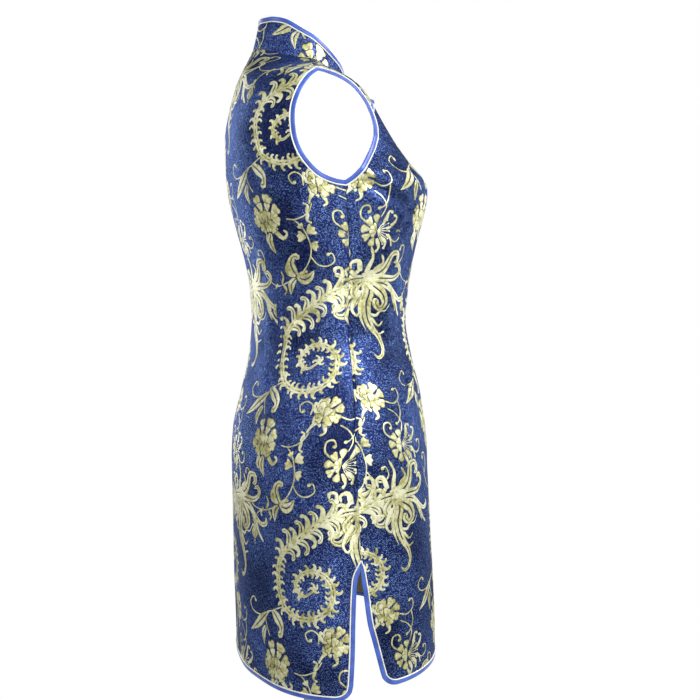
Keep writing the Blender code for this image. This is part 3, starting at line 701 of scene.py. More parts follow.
# Leaf shapes, as shares of the length and shares of the width there: one that ends in a bulb,
# one broad where it joins its stem, one with a round tip, one with a thin hooked end, a pointed one
CURLED = (
    [0.0, 0.12, 0.32, 0.52, 0.70, 0.80, 0.90, 0.96, 0.99, 1.0],
    [0.46, 0.76, 1.00, 0.78, 0.46, 0.48, 0.70, 0.60, 0.30, 0.06],
)
FLAME = ([0.0, 0.15, 0.35, 0.60, 0.76, 0.87, 0.95, 1.0], [0.80, 1.00, 0.90, 0.60, 0.44, 0.56, 0.40, 0.05])
BUD = ([0.0, 0.15, 0.40, 0.62, 0.76, 0.88, 0.96, 1.0], [0.62, 0.84, 1.00, 0.72, 0.54, 0.74, 0.60, 0.10])
TAIL = ([0.0, 0.10, 0.35, 0.60, 0.80, 0.93, 1.0], [0.60, 0.90, 1.00, 0.66, 0.34, 0.36, 0.06])
POINTED = ([0.0, 0.15, 0.40, 0.65, 0.85, 1.0], [0.34, 0.72, 1.00, 0.74, 0.34, 0.05])
# Shares of a strip's width, and the tone added there: dark at its edges as a woven outline, and painted shade
# from the lighter crown down to the edges
ACROSS = {3: np.array([0.0, 0.5, 1.0]), 5: np.array([0.0, 0.13, 0.5, 0.87, 1.0])}
OUTLINE_AND_SHADE = {3: np.array([-0.30, 0.10, -0.30]), 5: np.array([-1.9, 0.04, 0.14, 0.04, -1.9])}


class Figures:
    """Domed strips and petals drawn flat: points with a height, a tone and quads."""

    def __init__(self):
        self.points, self.tones, self.quads, self.count = [], [], [], 0

    def add_grid(self, x, y, height, tone):
        """A grid of points whose rows go up and whose columns go to the right."""
        rows, columns = x.shape
        self.points.append(np.stack([x, y, height], axis=-1).reshape(-1, 3))
        self.tones.append(np.broadcast_to(tone, x.shape).reshape(-1))
        self.quads.append(grid_faces(rows, columns) + self.count)
        self.count += rows * columns

    def strip(self, path, low, high, tone=0.5, across=5, crown=0.14, lift=0.0):
        """A ribbon from `low` to `high` right of its path, its height crown*sqrt(4t(1-t)) across it."""
        run = np.gradient(path, axis=0)
        run /= np.linalg.norm(run, axis=1, keepdims=True) + 1e-9
        t = ACROSS[across]
        right = np.stack([run[:, 1], -run[:, 0]], axis=-1)
        width = (high - low)[:, None]
        place = path[:, None] + right[:, None] * (low[:, None] + width * t)[..., None]
        height = lift + EDGE + (crown - EDGE) * np.sqrt(4 * t * (1 - t)) * np.clip(width / 0.9, 0.15, 1)
        # Its tone: a woven outline along the edges and painted shade across the dome
        self.add_grid(place[..., 0], place[..., 1], height, tone + OUTLINE_AND_SHADE[across])

    def line(self, path, width, tone=0.5, across=3):
        """A stem: a ribbon of even width that narrows at both ends."""
        s = np.linspace(0, 1, len(path))
        half = width / 2 * np.clip(np.minimum(s, 1 - s) * 12 + 0.35, 0, 1)
        self.strip(path, -half, half, tone, across)

    def tendril(self, path, width=1.8, bulb=2.3, tone=0.55):
        """A stem that ends in a round bulb, whose half width is sqrt(b^2 - (distance to its middle)^2)."""
        length = np.linalg.norm(np.diff(path, axis=0), axis=1).sum()
        end = bulb * (1 - np.cos(np.linspace(math.pi, 0, 8)[1:]))
        away = np.concatenate([np.linspace(length, 2 * bulb, max(len(path) - 4, 5)), end])
        away = np.sort(np.unique(np.round(away, 4)))[::-1]
        path = stations(path, 1 - away / length)
        ball = np.sqrt(np.maximum(bulb**2 - (away - bulb) ** 2, 0.01))
        half = np.where(away > bulb, np.maximum(ball * (away < 2 * bulb), width / 2), ball)
        half[0] *= 0.4
        self.strip(path, -half, half, tone)

    def leaf(self, path, width, tone=0.6, split=False, steps=12, shape=CURLED, lift=0.0):
        """A leaf along a path, its width read from its shape. A split one has a vein of the ground."""
        s = 1 - (1 - np.linspace(0, 1, steps)) ** 1.35
        path = stations(path, s)
        half = width / 2 * np.interp(s, *shape)
        if split:
            gap = 0.28 * np.clip((0.74 - s) * 5, 0, 1)
            self.strip(path, gap, half, tone, lift=lift)
            self.strip(path, -half, -gap, tone, lift=lift)
        else:
            self.strip(path, -half, half, tone, lift=lift)

    def comma(self, start, heading, length, width, turn, tone=0.6, split=False, steps=10, power=1.9):
        """A curled leaf whose heading turns by turn*(s/length)^power."""
        self.leaf(scroll(start, heading, length, turn, power, 28), width, tone, split, steps)

    def petal(self, centre, heading, inner, outer, half, lobes, tone, notch, columns=13, lift=0.0):
        """A ring-sector petal, t across from -1 to 1 and s outwards from 0 to 1.

        Its rim is 1 - a*t^2 - b*(1 - |cos(lobes*pi*t/2)|) - c*|t|^5: round lobes with sharp notches, or
        |sin| for an even number of lobes. Its height is a dome. Its tone is dark along its rim as a woven outline,
        with painted shade in a band inside the rim, in the notches and towards its foot.
        """
        s = np.array([0.0, 0.12, 0.5, 0.82, 0.92, 1.0])[:, None]
        t = np.linspace(-1, 1, columns)[None, :]
        t = (t + np.sin(t * math.pi / 2)) / 2
        wave = np.abs((np.cos if lobes % 2 else np.sin)(lobes * math.pi * t / 2))
        rim = 1 - 0.03 * t**2 - notch * (1 - wave) * (1 - 0.4 * t**2) - 0.20 * np.abs(t) ** 5
        radius = inner * (1 + 0.05 * (1 - t**2)) * (1 - s) + outer * rim * s
        angle = heading + t * half * (1 - 0.05 * s**4)
        x, y = centre[0] + radius * np.cos(angle), centre[1] + radius * np.sin(angle)
        rise = np.sqrt(np.clip(4 * s * (1 - s), 0, 1)) * np.sqrt(np.clip(1 - t**2, 0, 1))
        dome = np.minimum(1.6 * rise, 1) * (1 - 0.40 * (1 - wave) * s)
        height = lift + EDGE + (PETAL_CROWN - EDGE) * dome
        edge = (s > 0.99) | (np.abs(t) > 0.99)
        beside = (s > 0.90) | (np.abs(t) > 0.83)
        # Painted shade: darker at the foot, in a band inside the rim and in the notches; the rim itself is
        # dark as a woven outline
        shade = tone + 0.12 * s - 0.3 * (1 - s) ** 3 - 2.2 * edge - 0.42 * beside - 0.25 * (1 - wave) * s**2
        self.add_grid(x[:, ::-1], y[:, ::-1], height[:, ::-1], shade[:, ::-1])

    def dot(self, centre, radius, tone=0.7):
        """A round spot: a short strip as wide as it is long."""
        s = np.linspace(-0.97, 0.97, 5)
        path = np.stack([centre[0] + radius * s, np.full(5, float(centre[1]))], axis=-1)
        half = radius * np.sqrt(1 - s**2)
        self.strip(path, -half, half, tone)

    def copy(self, other, x, y):
        """Another drawing, moved to x, y."""
        points, tones, quads = other.arrays()
        self.points.append(points + np.array([x, y, 0.0]))
        self.tones.append(tones)
        self.quads.append(quads + self.count)
        self.count += len(points)

    def arrays(self):
        """All points, tones and quads."""
        return [np.concatenate(part) for part in (self.points, self.tones, self.quads)]


def scroll(start, heading, length, turn, power=1.0, steps=12):
    """A path whose heading, in radians, turns by turn*(s/length)^power."""
    s = np.linspace(0, 1, steps)
    middle = (s[1:] + s[:-1]) / 2
    angle = heading + turn * middle**power
    moves = np.stack([np.cos(angle), np.sin(angle)], axis=-1) * length / (steps - 1)
    return np.vstack([start, np.asarray(start) + np.cumsum(moves, axis=0)])


def distances(path):
    """Distance along a path at each of its points."""
    return np.concatenate([[0.0], np.cumsum(np.linalg.norm(np.diff(path, axis=0), axis=1))])


def stations(path, share):
    """Points at shares of a path's length."""
    far = distances(path)
    at = np.asarray(share) * far[-1]
    return np.stack([np.interp(at, far, path[:, 0]), np.interp(at, far, path[:, 1])], axis=-1)


def polar(distance, degrees, x=0.0):
    """A point at a distance and a heading from x, 0."""
    return distance * math.cos(math.radians(degrees)) + x, distance * math.sin(math.radians(degrees))


def draw_peony():
    """A full-blown flower: six petals below, nine round outer ones, a folded heart and a hanging pod."""
    # heading, distance of its foot from the middle, length, lobes
    outer = [
        (112, 12, 17, 2), (66, 11, 19, 3), (156, 9, 14, 2), (24, 10, 16, 2), (196, 10, 16, 3),
        (-20, 9, 14, 2), (236, 9, 15, 2), (-60, 10, 14, 3), (274, 8, 12, 2),
    ]
    # x and y of its foot, heading, length, half spread, lobes
    heart = [
        (-7, -3, 140, 14, 0.60, 2), (7, -3, 40, 14, 0.60, 2), (-5, -7, 215, 12, 0.60, 2),
        (6, -7, -40, 12, 0.60, 2), (-3, 4, 106, 15, 0.52, 3), (4, 4, 74, 14, 0.52, 2),
        (0, -8, 90, 17, 0.42, 1), (-3.5, -5, 104, 12, 0.42, 1), (4, -5, 76, 12, 0.42, 1),
        (0.4, -3, 90, 9, 0.42, 1),
    ]
    fig = Figures()
    fig.leaf(through([(2, -20), (-2, -31), (4, -45)]), 12.0, 0.62, True, 9, POINTED)
    fig.leaf(through([(10, -18), (19, -27), (26, -22), (22, -17)]), 8.0, 0.7, False, 12, FLAME)
    fig.leaf(through([(-6, -20), (-11, -30), (-6, -36)]), 7.0, 0.6, False, 10, FLAME)
    for k in range(6):
        fig.petal((0, -2), 1.05 * k + 0.2, 0.3, 14, 0.56, 1, 0.45, 0.05, 9)
    for k, (heading, foot, reach, lobes) in enumerate(outer):
        tone = 0.60 + 0.14 * math.sin(2.7 * k)
        at, way = polar(foot, heading), math.radians(heading)
        fig.petal(at, way, 0.4, reach, 0.66, lobes, tone, 0.10, 13, 0.03 * (k % 2))
    for k, (x, y, heading, reach, half, lobes) in enumerate(heart):
        tone = 0.72 + 0.14 * math.sin(1.7 * k)
        fig.petal((x, y), math.radians(heading), 0.3, reach, half, lobes, tone, 0.12, 11, 0.10 + 0.035 * k)
    return fig


def draw_rose():
    """A flower seen from the side: round petals on the right, small curls on the left and a folded heart."""
    # heading, distance of its foot from the middle, length, lobes
    outer = [(100, 6, 13, 2), (58, 8, 15, 2), (18, 8, 15, 3), (-24, 8, 14, 2), (-66, 6, 13, 2)]
    # heading, length, turn
    curls = [(126, 21, -2.7), (150, 20, -2.6), (176, 21, -2.6), (204, 19, 2.4), (232, 17, 2.2)]
    # x and y of its foot, heading, length, half spread
    heart = [
        (4, 4, 60, 12, 0.55), (5, -3, -30, 12, 0.55), (-1, 3, 115, 12, 0.52), (0, -4, 230, 11, 0.52),
        (1, -6, 80, 14, 0.42), (-2, -4, 104, 10, 0.40), (3.5, -4, 66, 10, 0.40),
    ]
    fig = Figures()
    fig.leaf(through([(-5, -10), (-12, -17), (-16, -25)]), 6.0, 0.7, False, 10, FLAME)
    fig.leaf(through([(3, -12), (6, -23), (0, -27)]), 6.5, 0.7, False, 12, FLAME)
    for k in range(5):
        fig.petal((1, 0), 1.257 * k, 0.3, 13, 0.66, 1, 0.45, 0.05, 9)
    for k, (heading, foot, reach, lobes) in enumerate(outer):
        tone, at = 0.64 + 0.14 * math.sin(2.3 * k), polar(foot, heading, 1)
        fig.petal(at, math.radians(heading), 0.4, reach, 0.64, lobes, tone, 0.10, 13, 0.03 * (k % 2))
    for heading, length, turn in curls:
        fig.comma(polar(2.0, heading), math.radians(heading), length, 7.6, turn, 0.8, False, 12)
    for k, (x, y, heading, reach, half) in enumerate(heart):
        fig.petal((x, y), math.radians(heading), 0.3, reach, half, 1 + k % 2, 0.82, 0.12, 9, 0.10 + 0.04 * k)
    return fig


def draw_fan():
    """A half-open flower: round petals on the left, stamens and narrow petals on the right, and curls."""
    # path, width
    narrow = [
        ([(8, 7), (12, 15), (15, 24), (21, 22)], 6.6), ([(14, 2), (24, 9), (28, 17), (22, 20)], 6.0),
        ([(6, -7), (14, -14), (13, -22)], 6.6), ([(14, -4), (22, -9), (24, -18)], 5.5),
        ([(1, -9), (6, -20), (2, -26)], 6.6),
    ]
    fig = Figures()
    for k, (heading, reach) in enumerate([(92, 14), (133, 14), (174, 15), (214, 14), (255, 14)]):
        at = polar(6.5, heading, -1)
        fig.petal(at, math.radians(heading), 0.4, reach, 0.58, 1 + k % 2, 0.68, 0.12, 9, 0.03 * (k % 2))
    for heading in (112, 152, 194, 236):
        fig.petal((-1, 0), math.radians(heading), 0.5, 10.0, 0.42, 1, 0.82, 0.08, 7, 0.16)
    for k in range(8):
        heading = math.radians(-66 + 17 * k)
        path = scroll((0, 0), heading, 19.0, 0.35 - 0.1 * k, 1, 7)
        fig.line(path, 1.3, 0.85)
        fig.dot(path[-1], 1.3, 0.9)
    for path, width in narrow:
        fig.leaf(through(path), width, 0.72)
    fig.tendril(through([(17, -5), (29, -12), (39, -8), (40, 0), (34, 2), (33, -2)]), 2.1, 2.4)
    fig.tendril(through([(-9, 5), (-23, 16), (-22, 27), (-14, 29), (-11, 23), (-15, 21)]), 2.6, 2.6)
    return fig


def draw_bud():
    """A hanging bud: a round body in three parts under a small cap, with a pointed tip."""
    fig = Figures()
    for bend in (-4.6, 0.0, 4.6):
        body = [(0.25 * bend, 6.5), (bend, 0.5), (0.5 * bend, -5.0), (0.1 * bend, -7.5)]
        fig.leaf(through(body), 5.0, 0.62, False, 8, POINTED)
    for side in (1, -1):
        fig.leaf(through([(0, 7), (side * 4, 9.5), (side * 6, 6)]), 3.4, 0.7)
    fig.dot((0, -9.5), 1.5, 0.6)
    fig.dot((0, -13.0), 1.0, 0.6)
    return fig


def draw_leaf_cluster():
    """Round-tipped and pointed leaves at one joint, with three small ones on the stalk."""
    stalk = [
        [(-24, -9), (-21, 0), (-25, 6)], [(-21, -10), (-15, -17), (-18, -22)],
        [(-30, -9), (-36, -15), (-34, -20)],
    ]
    fig = Figures()
    fig.leaf(through([(-1, 1), (-6, 9), (-8, 16), (-4, 23), (1, 24), (2, 20)]), 13.0, 0.62, True, 13, BUD)
    fig.leaf(through([(-3, 1), (-12, 4), (-15, 11), (-11, 16)]), 8.5, 0.55, False, 10, BUD, -0.05)
    fig.leaf(through([(1, -1), (9, -4), (16, -1), (22, 7)]), 14.0, 0.7, True, 12, POINTED)
    fig.leaf(through([(0, -2), (7, 4), (14, 6)]), 7.0, 0.6, False, 8, BUD, -0.05)
    fig.leaf(through([(-2, -3), (-8, -9), (-8, -22)]), 12.0, 0.6, True, 12, POINTED)
    for path in stalk:
        fig.leaf(through(path), 5.0, 0.6)
    return fig


def draw_trefoils():
    """Leaves of three round lobes, set on both sides of a stem."""
    fig = Figures()
    for x, y, turn, reach in ((0, 4, 0.55, 15), (0, -1, 2.95, 14), (1, -9, -0.25, 13), (-3, 9, 2.2, 9)):
        fig.petal((x, y), turn, 0.6, reach, 0.80, 3, 0.78, 0.26)
    return fig


BURST = [
    # points, width, split, shape
    ([(-10, -2), (-4, -14), (-8, -30), (-10, -46), (-4, -66)], 8.5, False, POINTED),
    ([(3, -60), (12, -70), (23, -67)], 5.0, False, FLAME),
    ([(5, -50), (15, -60), (23, -54)], 5.0, False, FLAME),
    ([(0, -44), (12, -47), (19, -41), (28, -41), (36, -32)], 4.6, False, TAIL),
    (
        [
            (-6, 0), (2, -10), (3, -20), (-2, -33), (-1, -48), (4, -62), (11, -73), (14, -86), (10, -97),
            (2, -101), (-3, -95),
        ],
        14.0, True, TAIL,
    ),
    ([(32, -8), (44, -24), (50, -37), (61, -48)], 8.5, False, FLAME),
    ([(36, -12), (42, -28), (48, -42)], 6.5, False, FLAME),
    ([(-6, -2), (14, -5), (30, -9), (44, -20), (57, -27), (67, -24), (66, -17)], 12.5, True, FLAME),
    ([(-2, -4), (12, -12), (22, -20), (25, -32), (17, -38), (11, -32), (14, -26)], 17.0, True, CURLED),
    ([(-12, 8), (-16, 20), (-25, 18), (-24, 10)], 8.5, False, FLAME),
    ([(-16, 2), (-22, 7), (-29, 6), (-29, 0)], 7.0, False, FLAME),
    ([(-4, 0), (-2, 13), (2, 25), (-3, 38)], 8.5, False, FLAME),
    ([(4, 2), (10, 12), (19, 19), (14, 29)], 8.0, False, FLAME),
    ([(-6, 0), (10, 0), (26, 0), (42, 1), (53, 9), (49, 17), (42, 14)], 12.0, True, FLAME),
    ([(-8, 0), (8, 4), (20, 9), (27, 18), (32, 30), (43, 31), (44, 22), (38, 20)], 15.0, True, FLAME),
    ([(-6, -4), (-13, -10), (-18, -18), (-13, -26), (-7, -21), (-10, -16)], 10.5, True, CURLED),
    ([(-9, -16), (-16, -28), (-20, -39), (-15, -47), (-10, -42)], 7.5, False, FLAME),
]


def draw_burst():
    """Where a plume opens: large curled leaves all round and long ribbons hanging from it."""
    fig = Figures()
    for k, (points, width, split, shape) in enumerate(BURST):
        steps = int(np.clip(3.4 * len(points), 9, 28))
        tone = 0.70 + 0.14 * math.sin(2.9 * k)
        fig.leaf(through(points), width, tone, split, steps, shape, 0.09 * (k // 4))
    return fig


STEM = [
    (6.7, -1.3), (-5, -9), (-15.8, -3), (-16, 7), (-8.6, 16), (5, 21), (20, 16), (29, 2), (28, -14),
    (20, -27), (4, -35), (-17, -35), (-34, -25), (-42, -7), (-44, 12), (-41, 28), (-32, 42), (-17, 54),
    (0, 68), (16, 80), (31, 86), (45, 90), (60, 91), (68, 91),
]
UPPER_LEAVES = [
    # points, width, split
    ([(20, 84), (27, 94), (31, 104), (29, 112), (22, 111), (22, 105)], 7.5, False),
    ([(30, 86), (40, 94), (48, 103), (46, 111)], 7.0, False),
    ([(28, 84), (35, 79), (37, 69), (31, 62), (24, 65), (27, 71)], 9.0, True),
    ([(40, 88), (46, 76), (45, 63), (37, 54), (28, 56), (28, 65), (35, 66)], 10.5, True),
]


def draw_plume():
    """A scroll of curled leaves on both sides of one stem, from a small rosette to a burst of leaves.

    Leaves round the ring lean forwards from the stem, broad where they join it, and hook back at their
    tips. Past the ring they are longer and their tips are round, and the last stretch is left free.
    """
    ring_end, free = 246.0, 42.0
    fig = Figures()
    path = through(STEM, 12)
    length = distances(path)[-1]
    at = np.linspace(0, length, 190)
    path = stations(path, at / length)
    run = np.gradient(path, axis=0)
    run = np.arctan2(run[:, 1], run[:, 0])
    half = np.interp(at, [0, 30, 90, 230, 290, 345, at[-1]], [1.3, 2.4, 3.3, 3.7, 4.2, 4.4, 4.0])
    gap = np.interp(at, [0, 60, 90, at[-1]], [0.0, 0.0, 0.25, 0.25])
    fig.strip(path, gap, half, 0.66, crown=0.24)
    fig.strip(path, -half, -gap, 0.66, crown=0.24)

    def at_stem(distance):
        k = int(np.interp(distance, at, np.arange(len(at))))
        return path[k], run[k]

    # side, step ahead, lean from the stem, share of the length, turn, power, width
    teeth = [(1, 3.0, 0.80, 0.76, 2.6, 2.2, 7.0), (-1, 0.0, -0.65, 0.72, -2.8, 2.0, 6.4)]
    where, count = 16.0, 0
    while where < ring_end:
        grown = np.interp(where, [0, 40, 90, 130, 200, 250], [9.0, 11.0, 16.0, 16.0, 15.0, 19.0])
        for side, ahead, lean, share, turn, power, width in teeth:
            foot, heading = at_stem(where + ahead)
            wave = 1 + 0.20 * math.sin(2.4 * count + side)
            tone = 0.66 + 0.18 * math.sin(where * 0.31 + side)
            curl = scroll(foot, heading + lean, share * grown * wave, turn, power, 24)
            fig.leaf(curl, width, tone, False, 11, FLAME, -0.04)
        where += (7.4 if where < 90 else 8.2) * (1 + 0.12 * math.sin(1.9 * count))
        count += 1
    count = 0
    while where < length - free:
        wave = 1 + 0.10 * math.sin(2.1 * count)
        tone = 0.70 + 0.14 * math.sin(1.7 * count)
        foot, heading = at_stem(where)
        curl = scroll(foot, heading + 0.62, 25.0 * wave, 2.9, 2.6, 30)
        fig.leaf(curl, 8.4, tone, count % 2 == 1, 14, BUD, 0.07 * (count % 2))
        foot, heading = at_stem(where + 4.0)
        curl = scroll(foot, heading - 0.55, (23.0 + 1.6 * count) / wave, -3.2, 2.0, 30)
        fig.leaf(curl, 8.0, tone + 0.1, count % 2 == 0, 14, BUD, 0.07 * (count % 2))
        where += 11.0
        count += 1
    for k, (points, width, split) in enumerate(UPPER_LEAVES):
        fig.leaf(through(points, 8), width, 0.72 + 0.15 * math.sin(1.9 * k), split, 15, BUD, 0.07 * (k % 2))
    for heading, length, turn in ((20, 9, 2.4), (80, 10, 2.2), (150, 9, 2.4), (-60, 8, 2.4)):
        fig.comma((7.0, 0.0), math.radians(heading), length, 4.4, turn, 0.85)
    fig.dot((7.2, -0.4), 2.2, 0.9)
    return fig


def draw_repeat():
    """One repeat of the pattern round a plume: two flowers, a fan, a bud, leaves and their stems."""
    drawings = [
        (draw_plume, 0, 0), (draw_burst, 60, 91), (draw_peony, -50, -98), (draw_rose, 28, -61),
        (draw_fan, 60, -122), (draw_trefoils, 1, -124), (draw_leaf_cluster, -17, -171), (draw_bud, -68, -214),
    ]
    fig = Figures()
    for draw, x, y in drawings:
        fig.copy(draw(), x, y)
    stems = [
        [(-21, -102), (-10, -103), (2, -99), (10, -93), (16, -84)],
        [(-12, -103), (-3, -112), (2, -124), (4, -137), (1, -150), (-6, -162), (-15, -170)],
        [(-20, -173), (-36, -180), (-52, -183), (-70, -180), (-84, -168), (-90, -152)],
        [(-52, -183), (-62, -190), (-67, -200), (-68, -207)],
        [(50, -75), (62, -82), (69, -93), (64, -106)],
        [(-34, -26), (-44, -30), (-54, -35), (-66, -39)],
        [(-62, -38), (-70, -48), (-66, -60), (-61, -68)],
    ]
    for points in stems:
        fig.line(through(points), 2.2, 0.75)
    curls = [
        [(2, -147), (10, -157), (21, -159), (30, -153), (28, -144), (21, -146)],
        [(12, -64), (12, -53), (4, -48), (-4, -53), (-1, -61), (4, -59)],
        [(37, -61), (50, -66), (62, -69), (73, -62), (72, -51), (64, -52)],
        [(-64, -39), (-82, -47), (-100, -47), (-108, -38), (-100, -29), (-93, -34)],
        [(-86, -160), (-78, -150), (-80, -139), (-88, -138), (-89, -145)],
        [(70, -66), (72, -80), (66, -92), (58, -96)],
    ]
    for points in curls:
        fig.tendril(through(points, 8), 2.1, 2.4)
    fig.leaf(through([(-54, -35), (-46, -42), (-39, -51), (-40, -60), (-45, -60)]), 15.0, 0.7, True, 14)
    fig.leaf(through([(-68, -42), (-80, -52), (-95, -64), (-108, -72)]), 14.0, 0.62, True, 12, POINTED)
    fig.leaf(through([(-70, -58), (-76, -68), (-74, -82)]), 10.5, 0.6, True, 9, POINTED)
    fig.leaf(through([(8, -96), (5, -104), (10, -108)]), 5.5, 0.7)
    fig.leaf(through([(6, -95), (10, -87), (5, -84)]), 5.0, 0.7)
    return fig


def wrapped(panel, fig, places):
    """A drawing repeated at `places` on a panel: cut at the panel's edges and laid on the cloth.

    Faces wholly outside are dropped. Points that are left outside move back to the edge in three
    steps, along the slope of the panel's room.
    """
    wrap = Wrap(panel == "back")
    turned = 180.0 if panel == "back" else 0.0
    base, tones, quads = fig.arrays()
    kept_points, kept_tones, kept_quads, count = [], [], [], 0
    for x, y in places:
        angle, ring = wrap.on_body(base[:, 0] + x, base[:, 1] + y)
        below = base[:, 1] + y < 0
        room = np.where(below, -9.0, side_room(panel, angle, ring))
        faces = quads[(room[quads] > 0.25).any(axis=1)]
        if not len(faces):
            continue
        used, faces = np.unique(faces, return_inverse=True)
        angle, ring, room, height = angle[used], ring[used], room[used], base[used, 2]
        for _ in range(3):
            slope_a = (side_room(panel, angle + 0.05, ring) - side_room(panel, angle - 0.05, ring)) / 0.1
            slope_r = (side_room(panel, angle, ring + 0.002) - side_room(panel, angle, ring - 0.002)) / 0.004
            a, r = slope_a / SIDE_DEGREE, slope_r / MEAN_STEP
            short = np.maximum(0.1 - side_room(panel, angle, ring), 0) * (room < 0.1)
            move = short / np.maximum(a * a + r * r, 0.2)
            angle = angle + np.clip(move * a, -4, 4) / SIDE_DEGREE
            ring = ring + np.clip(move * r, -4, 4) / MEAN_STEP
        kept_points.append(on_cloth(angle + turned, ring, height / 1000))
        kept_tones.append(tones[used])
        kept_quads.append(faces.reshape(-1, 4) + count)
        count += len(used)
    return np.concatenate(kept_points), np.concatenate(kept_tones), np.concatenate(kept_quads)


# Materials


class Nodes:
    """A material's node tree, with its principled shader and short ways to add and join nodes."""

    def __init__(self, name, **values):
        self.material = bpy.data.materials.new(name)
        self.material.use_nodes = True
        self.tree = self.material.node_tree
        self.shader = self.tree.nodes["Principled BSDF"]
        for socket, value in values.items():
            self.shader.inputs[socket.replace("_", " ")].default_value = value

    def add(self, kind, inputs=None, **settings):
        node = self.tree.nodes.new(kind)
        for key, value in settings.items():
            setattr(node, key, value)
        for key, value in (inputs or {}).items():
            if isinstance(value, bpy.types.NodeSocket):
                self.tree.links.new(value, node.inputs[key])
            else:
                node.inputs[key].default_value = value
        return node

    def math(self, operation, *values):
        """A sum, product, sine or the like of the values."""
        return self.add("ShaderNodeMath", dict(enumerate(values)), operation=operation).outputs[0]

    def vary(self, value, field, amount):
        """The value moved by the field's distance from its middle, times an amount."""
        return self.math("ADD", value, self.math("MULTIPLY", self.math("SUBTRACT", field, 0.5), amount))

    def mix(self, factor, first, second):
        node = self.add("ShaderNodeMix", {0: factor, 6: first, 7: second}, data_type="RGBA")
        return node.outputs[2]

    def noise(self, where, scale, detail=2.0, rough=0.5):
        inputs = {"Vector": where, "Scale": scale, "Detail": detail, "Roughness": rough}
        return self.add("ShaderNodeTexNoise", inputs).outputs["Fac"]

    def ramp(self, value, low, high, to_low=0.0, to_high=1.0):
        inputs = {"Value": value, "From Min": low, "From Max": high, "To Min": to_low, "To Max": to_high}
        return self.add("ShaderNodeMapRange", inputs).outputs["Result"]

    def where(self, layer=None):
        if layer:
            return self.add("ShaderNodeUVMap", uv_map=layer).outputs["UV"]
        return self.add("ShaderNodeTexCoord").outputs["Object"]

    def scaled(self, where, x, y, z=1.0):
        return self.add("ShaderNodeMapping", {"Vector": where, "Scale": (x, y, z)}).outputs["Vector"]

    def join(self, output, socket):
        self.tree.links.new(output, self.shader.inputs[socket])

    def bump(self, height, strength, distance):
        inputs = {"Height": height, "Strength": strength, "Distance": distance}
        self.join(self.add("ShaderNodeBump", inputs).outputs["Normal"], "Normal")


def brocade_material(name, dark, plain, light, strong):
    """Blue satin with a worm pattern: bands of a noise field, 2 to 3 mm wide, woven lighter and glossier.

    The bands are a ramp of sin(32 * noise). Wide patches choose the ground's shade and how strongly
    the bands show, and fine ribs run across it all.
    """
    mat = Nodes(name, Metallic=0.60, IOR=1.3, Specular_Tint=(0.38, 0.53, 0.95, 1.0))
    flat = mat.where("Flat")
    field = mat.noise(flat, 190.0, 1.0, 0.45)
    worm = mat.ramp(mat.math("SINE", mat.math("MULTIPLY", field, 32.0)), 0.42, 0.85)
    wide = mat.noise(flat, 11.0, 3.0)
    ground = mat.mix(mat.ramp(wide, 0.38, 0.62), dark, plain)
    ribs = mat.add("ShaderNodeTexWave", {"Vector": flat, "Scale": 900.0}).outputs["Fac"]
    shown = mat.math("MULTIPLY", worm, mat.ramp(wide, 0.3, 0.7, 0.08, 0.78 * strong))
    mat.join(mat.mix(shown, ground, light), "Base Color")
    mat.join(mat.ramp(worm, 0, 1, 0.36, 0.24), "Roughness")
    mat.join(mat.ramp(worm, 0, 1, 0.30, 0.4 + 0.8 * strong), "Specular IOR Level")
    mat.bump(mat.math("ADD", worm, mat.math("MULTIPLY", ribs, 0.3)), 0.75, 0.00016)
    return mat.material


def reverse_material(colours):
    """The brocade's wrong side: dull olive floats with faint cross threads."""
    mat = Nodes("brocade_reverse", Roughness=0.75, Specular_IOR_Level=0.25)
    where = mat.where()
    threads = mat.noise(mat.scaled(where, 200, 200, 1200), 1.0, 2.0)
    mat.join(mat.mix(mat.ramp(threads, 0.35, 0.65), colours.reverse, colours.gold_shade), "Base Color")
    mat.bump(threads, 0.3, 0.0002)
    return mat.material


def gold_material(colours):
    """Pale gold thread: the figure's tone chooses the colour, varied by patches, specks and threads. The tone
    carries the figures' woven outlines and their painted shade.
    """
    mat = Nodes("gold_thread", Metallic=0.45, Roughness=0.42, Coat_Weight=0.3, Coat_Roughness=0.30)
    tone = mat.add("ShaderNodeAttribute", attribute_name="tone").outputs["Fac"]
    where = mat.where()
    patches = mat.noise(where, 55.0, 2.0)
    threads = mat.noise(mat.scaled(where, 900, 900, 2600), 1.0, 1.0)
    specks = mat.noise(where, 260.0, 1.0)
    value = mat.vary(mat.vary(mat.vary(tone, patches, 1.3), specks, 1.1), threads, 0.5)
    dark = mat.mix(mat.ramp(value, -0.30, 0.12), colours.ground_dark, colours.gold_shade)
    light = mat.mix(mat.ramp(value, 0.10, 0.50), dark, colours.gold)
    mat.join(mat.mix(mat.ramp(value, 0.55, 1.0), light, colours.gold_light), "Base Color")
    mat.join(mat.ramp(patches, 0.3, 0.7, 0.34, 0.50), "Roughness")
    mat.bump(threads, 0.3, 0.0001)
    return mat.material


def satin_material(name, colour, deep):
    """Plain satin on the bias: a soft sheen, with faint slanting threads and slow changes of shade."""
    mat = Nodes(name, Roughness=0.36, Specular_IOR_Level=0.5, Sheen_Weight=0.3, Sheen_Roughness=0.4)
    where = mat.where()
    slow = mat.noise(where, 60.0, 2.0)
    threads = mat.noise(mat.scaled(where, 1500, 400, 900), 1.0, 1.0)
    mat.join(mat.mix(mat.ramp(slow, 0.3, 0.7), deep, colour), "Base Color")
    mat.bump(threads, 0.25, 0.0001)
    return mat.material


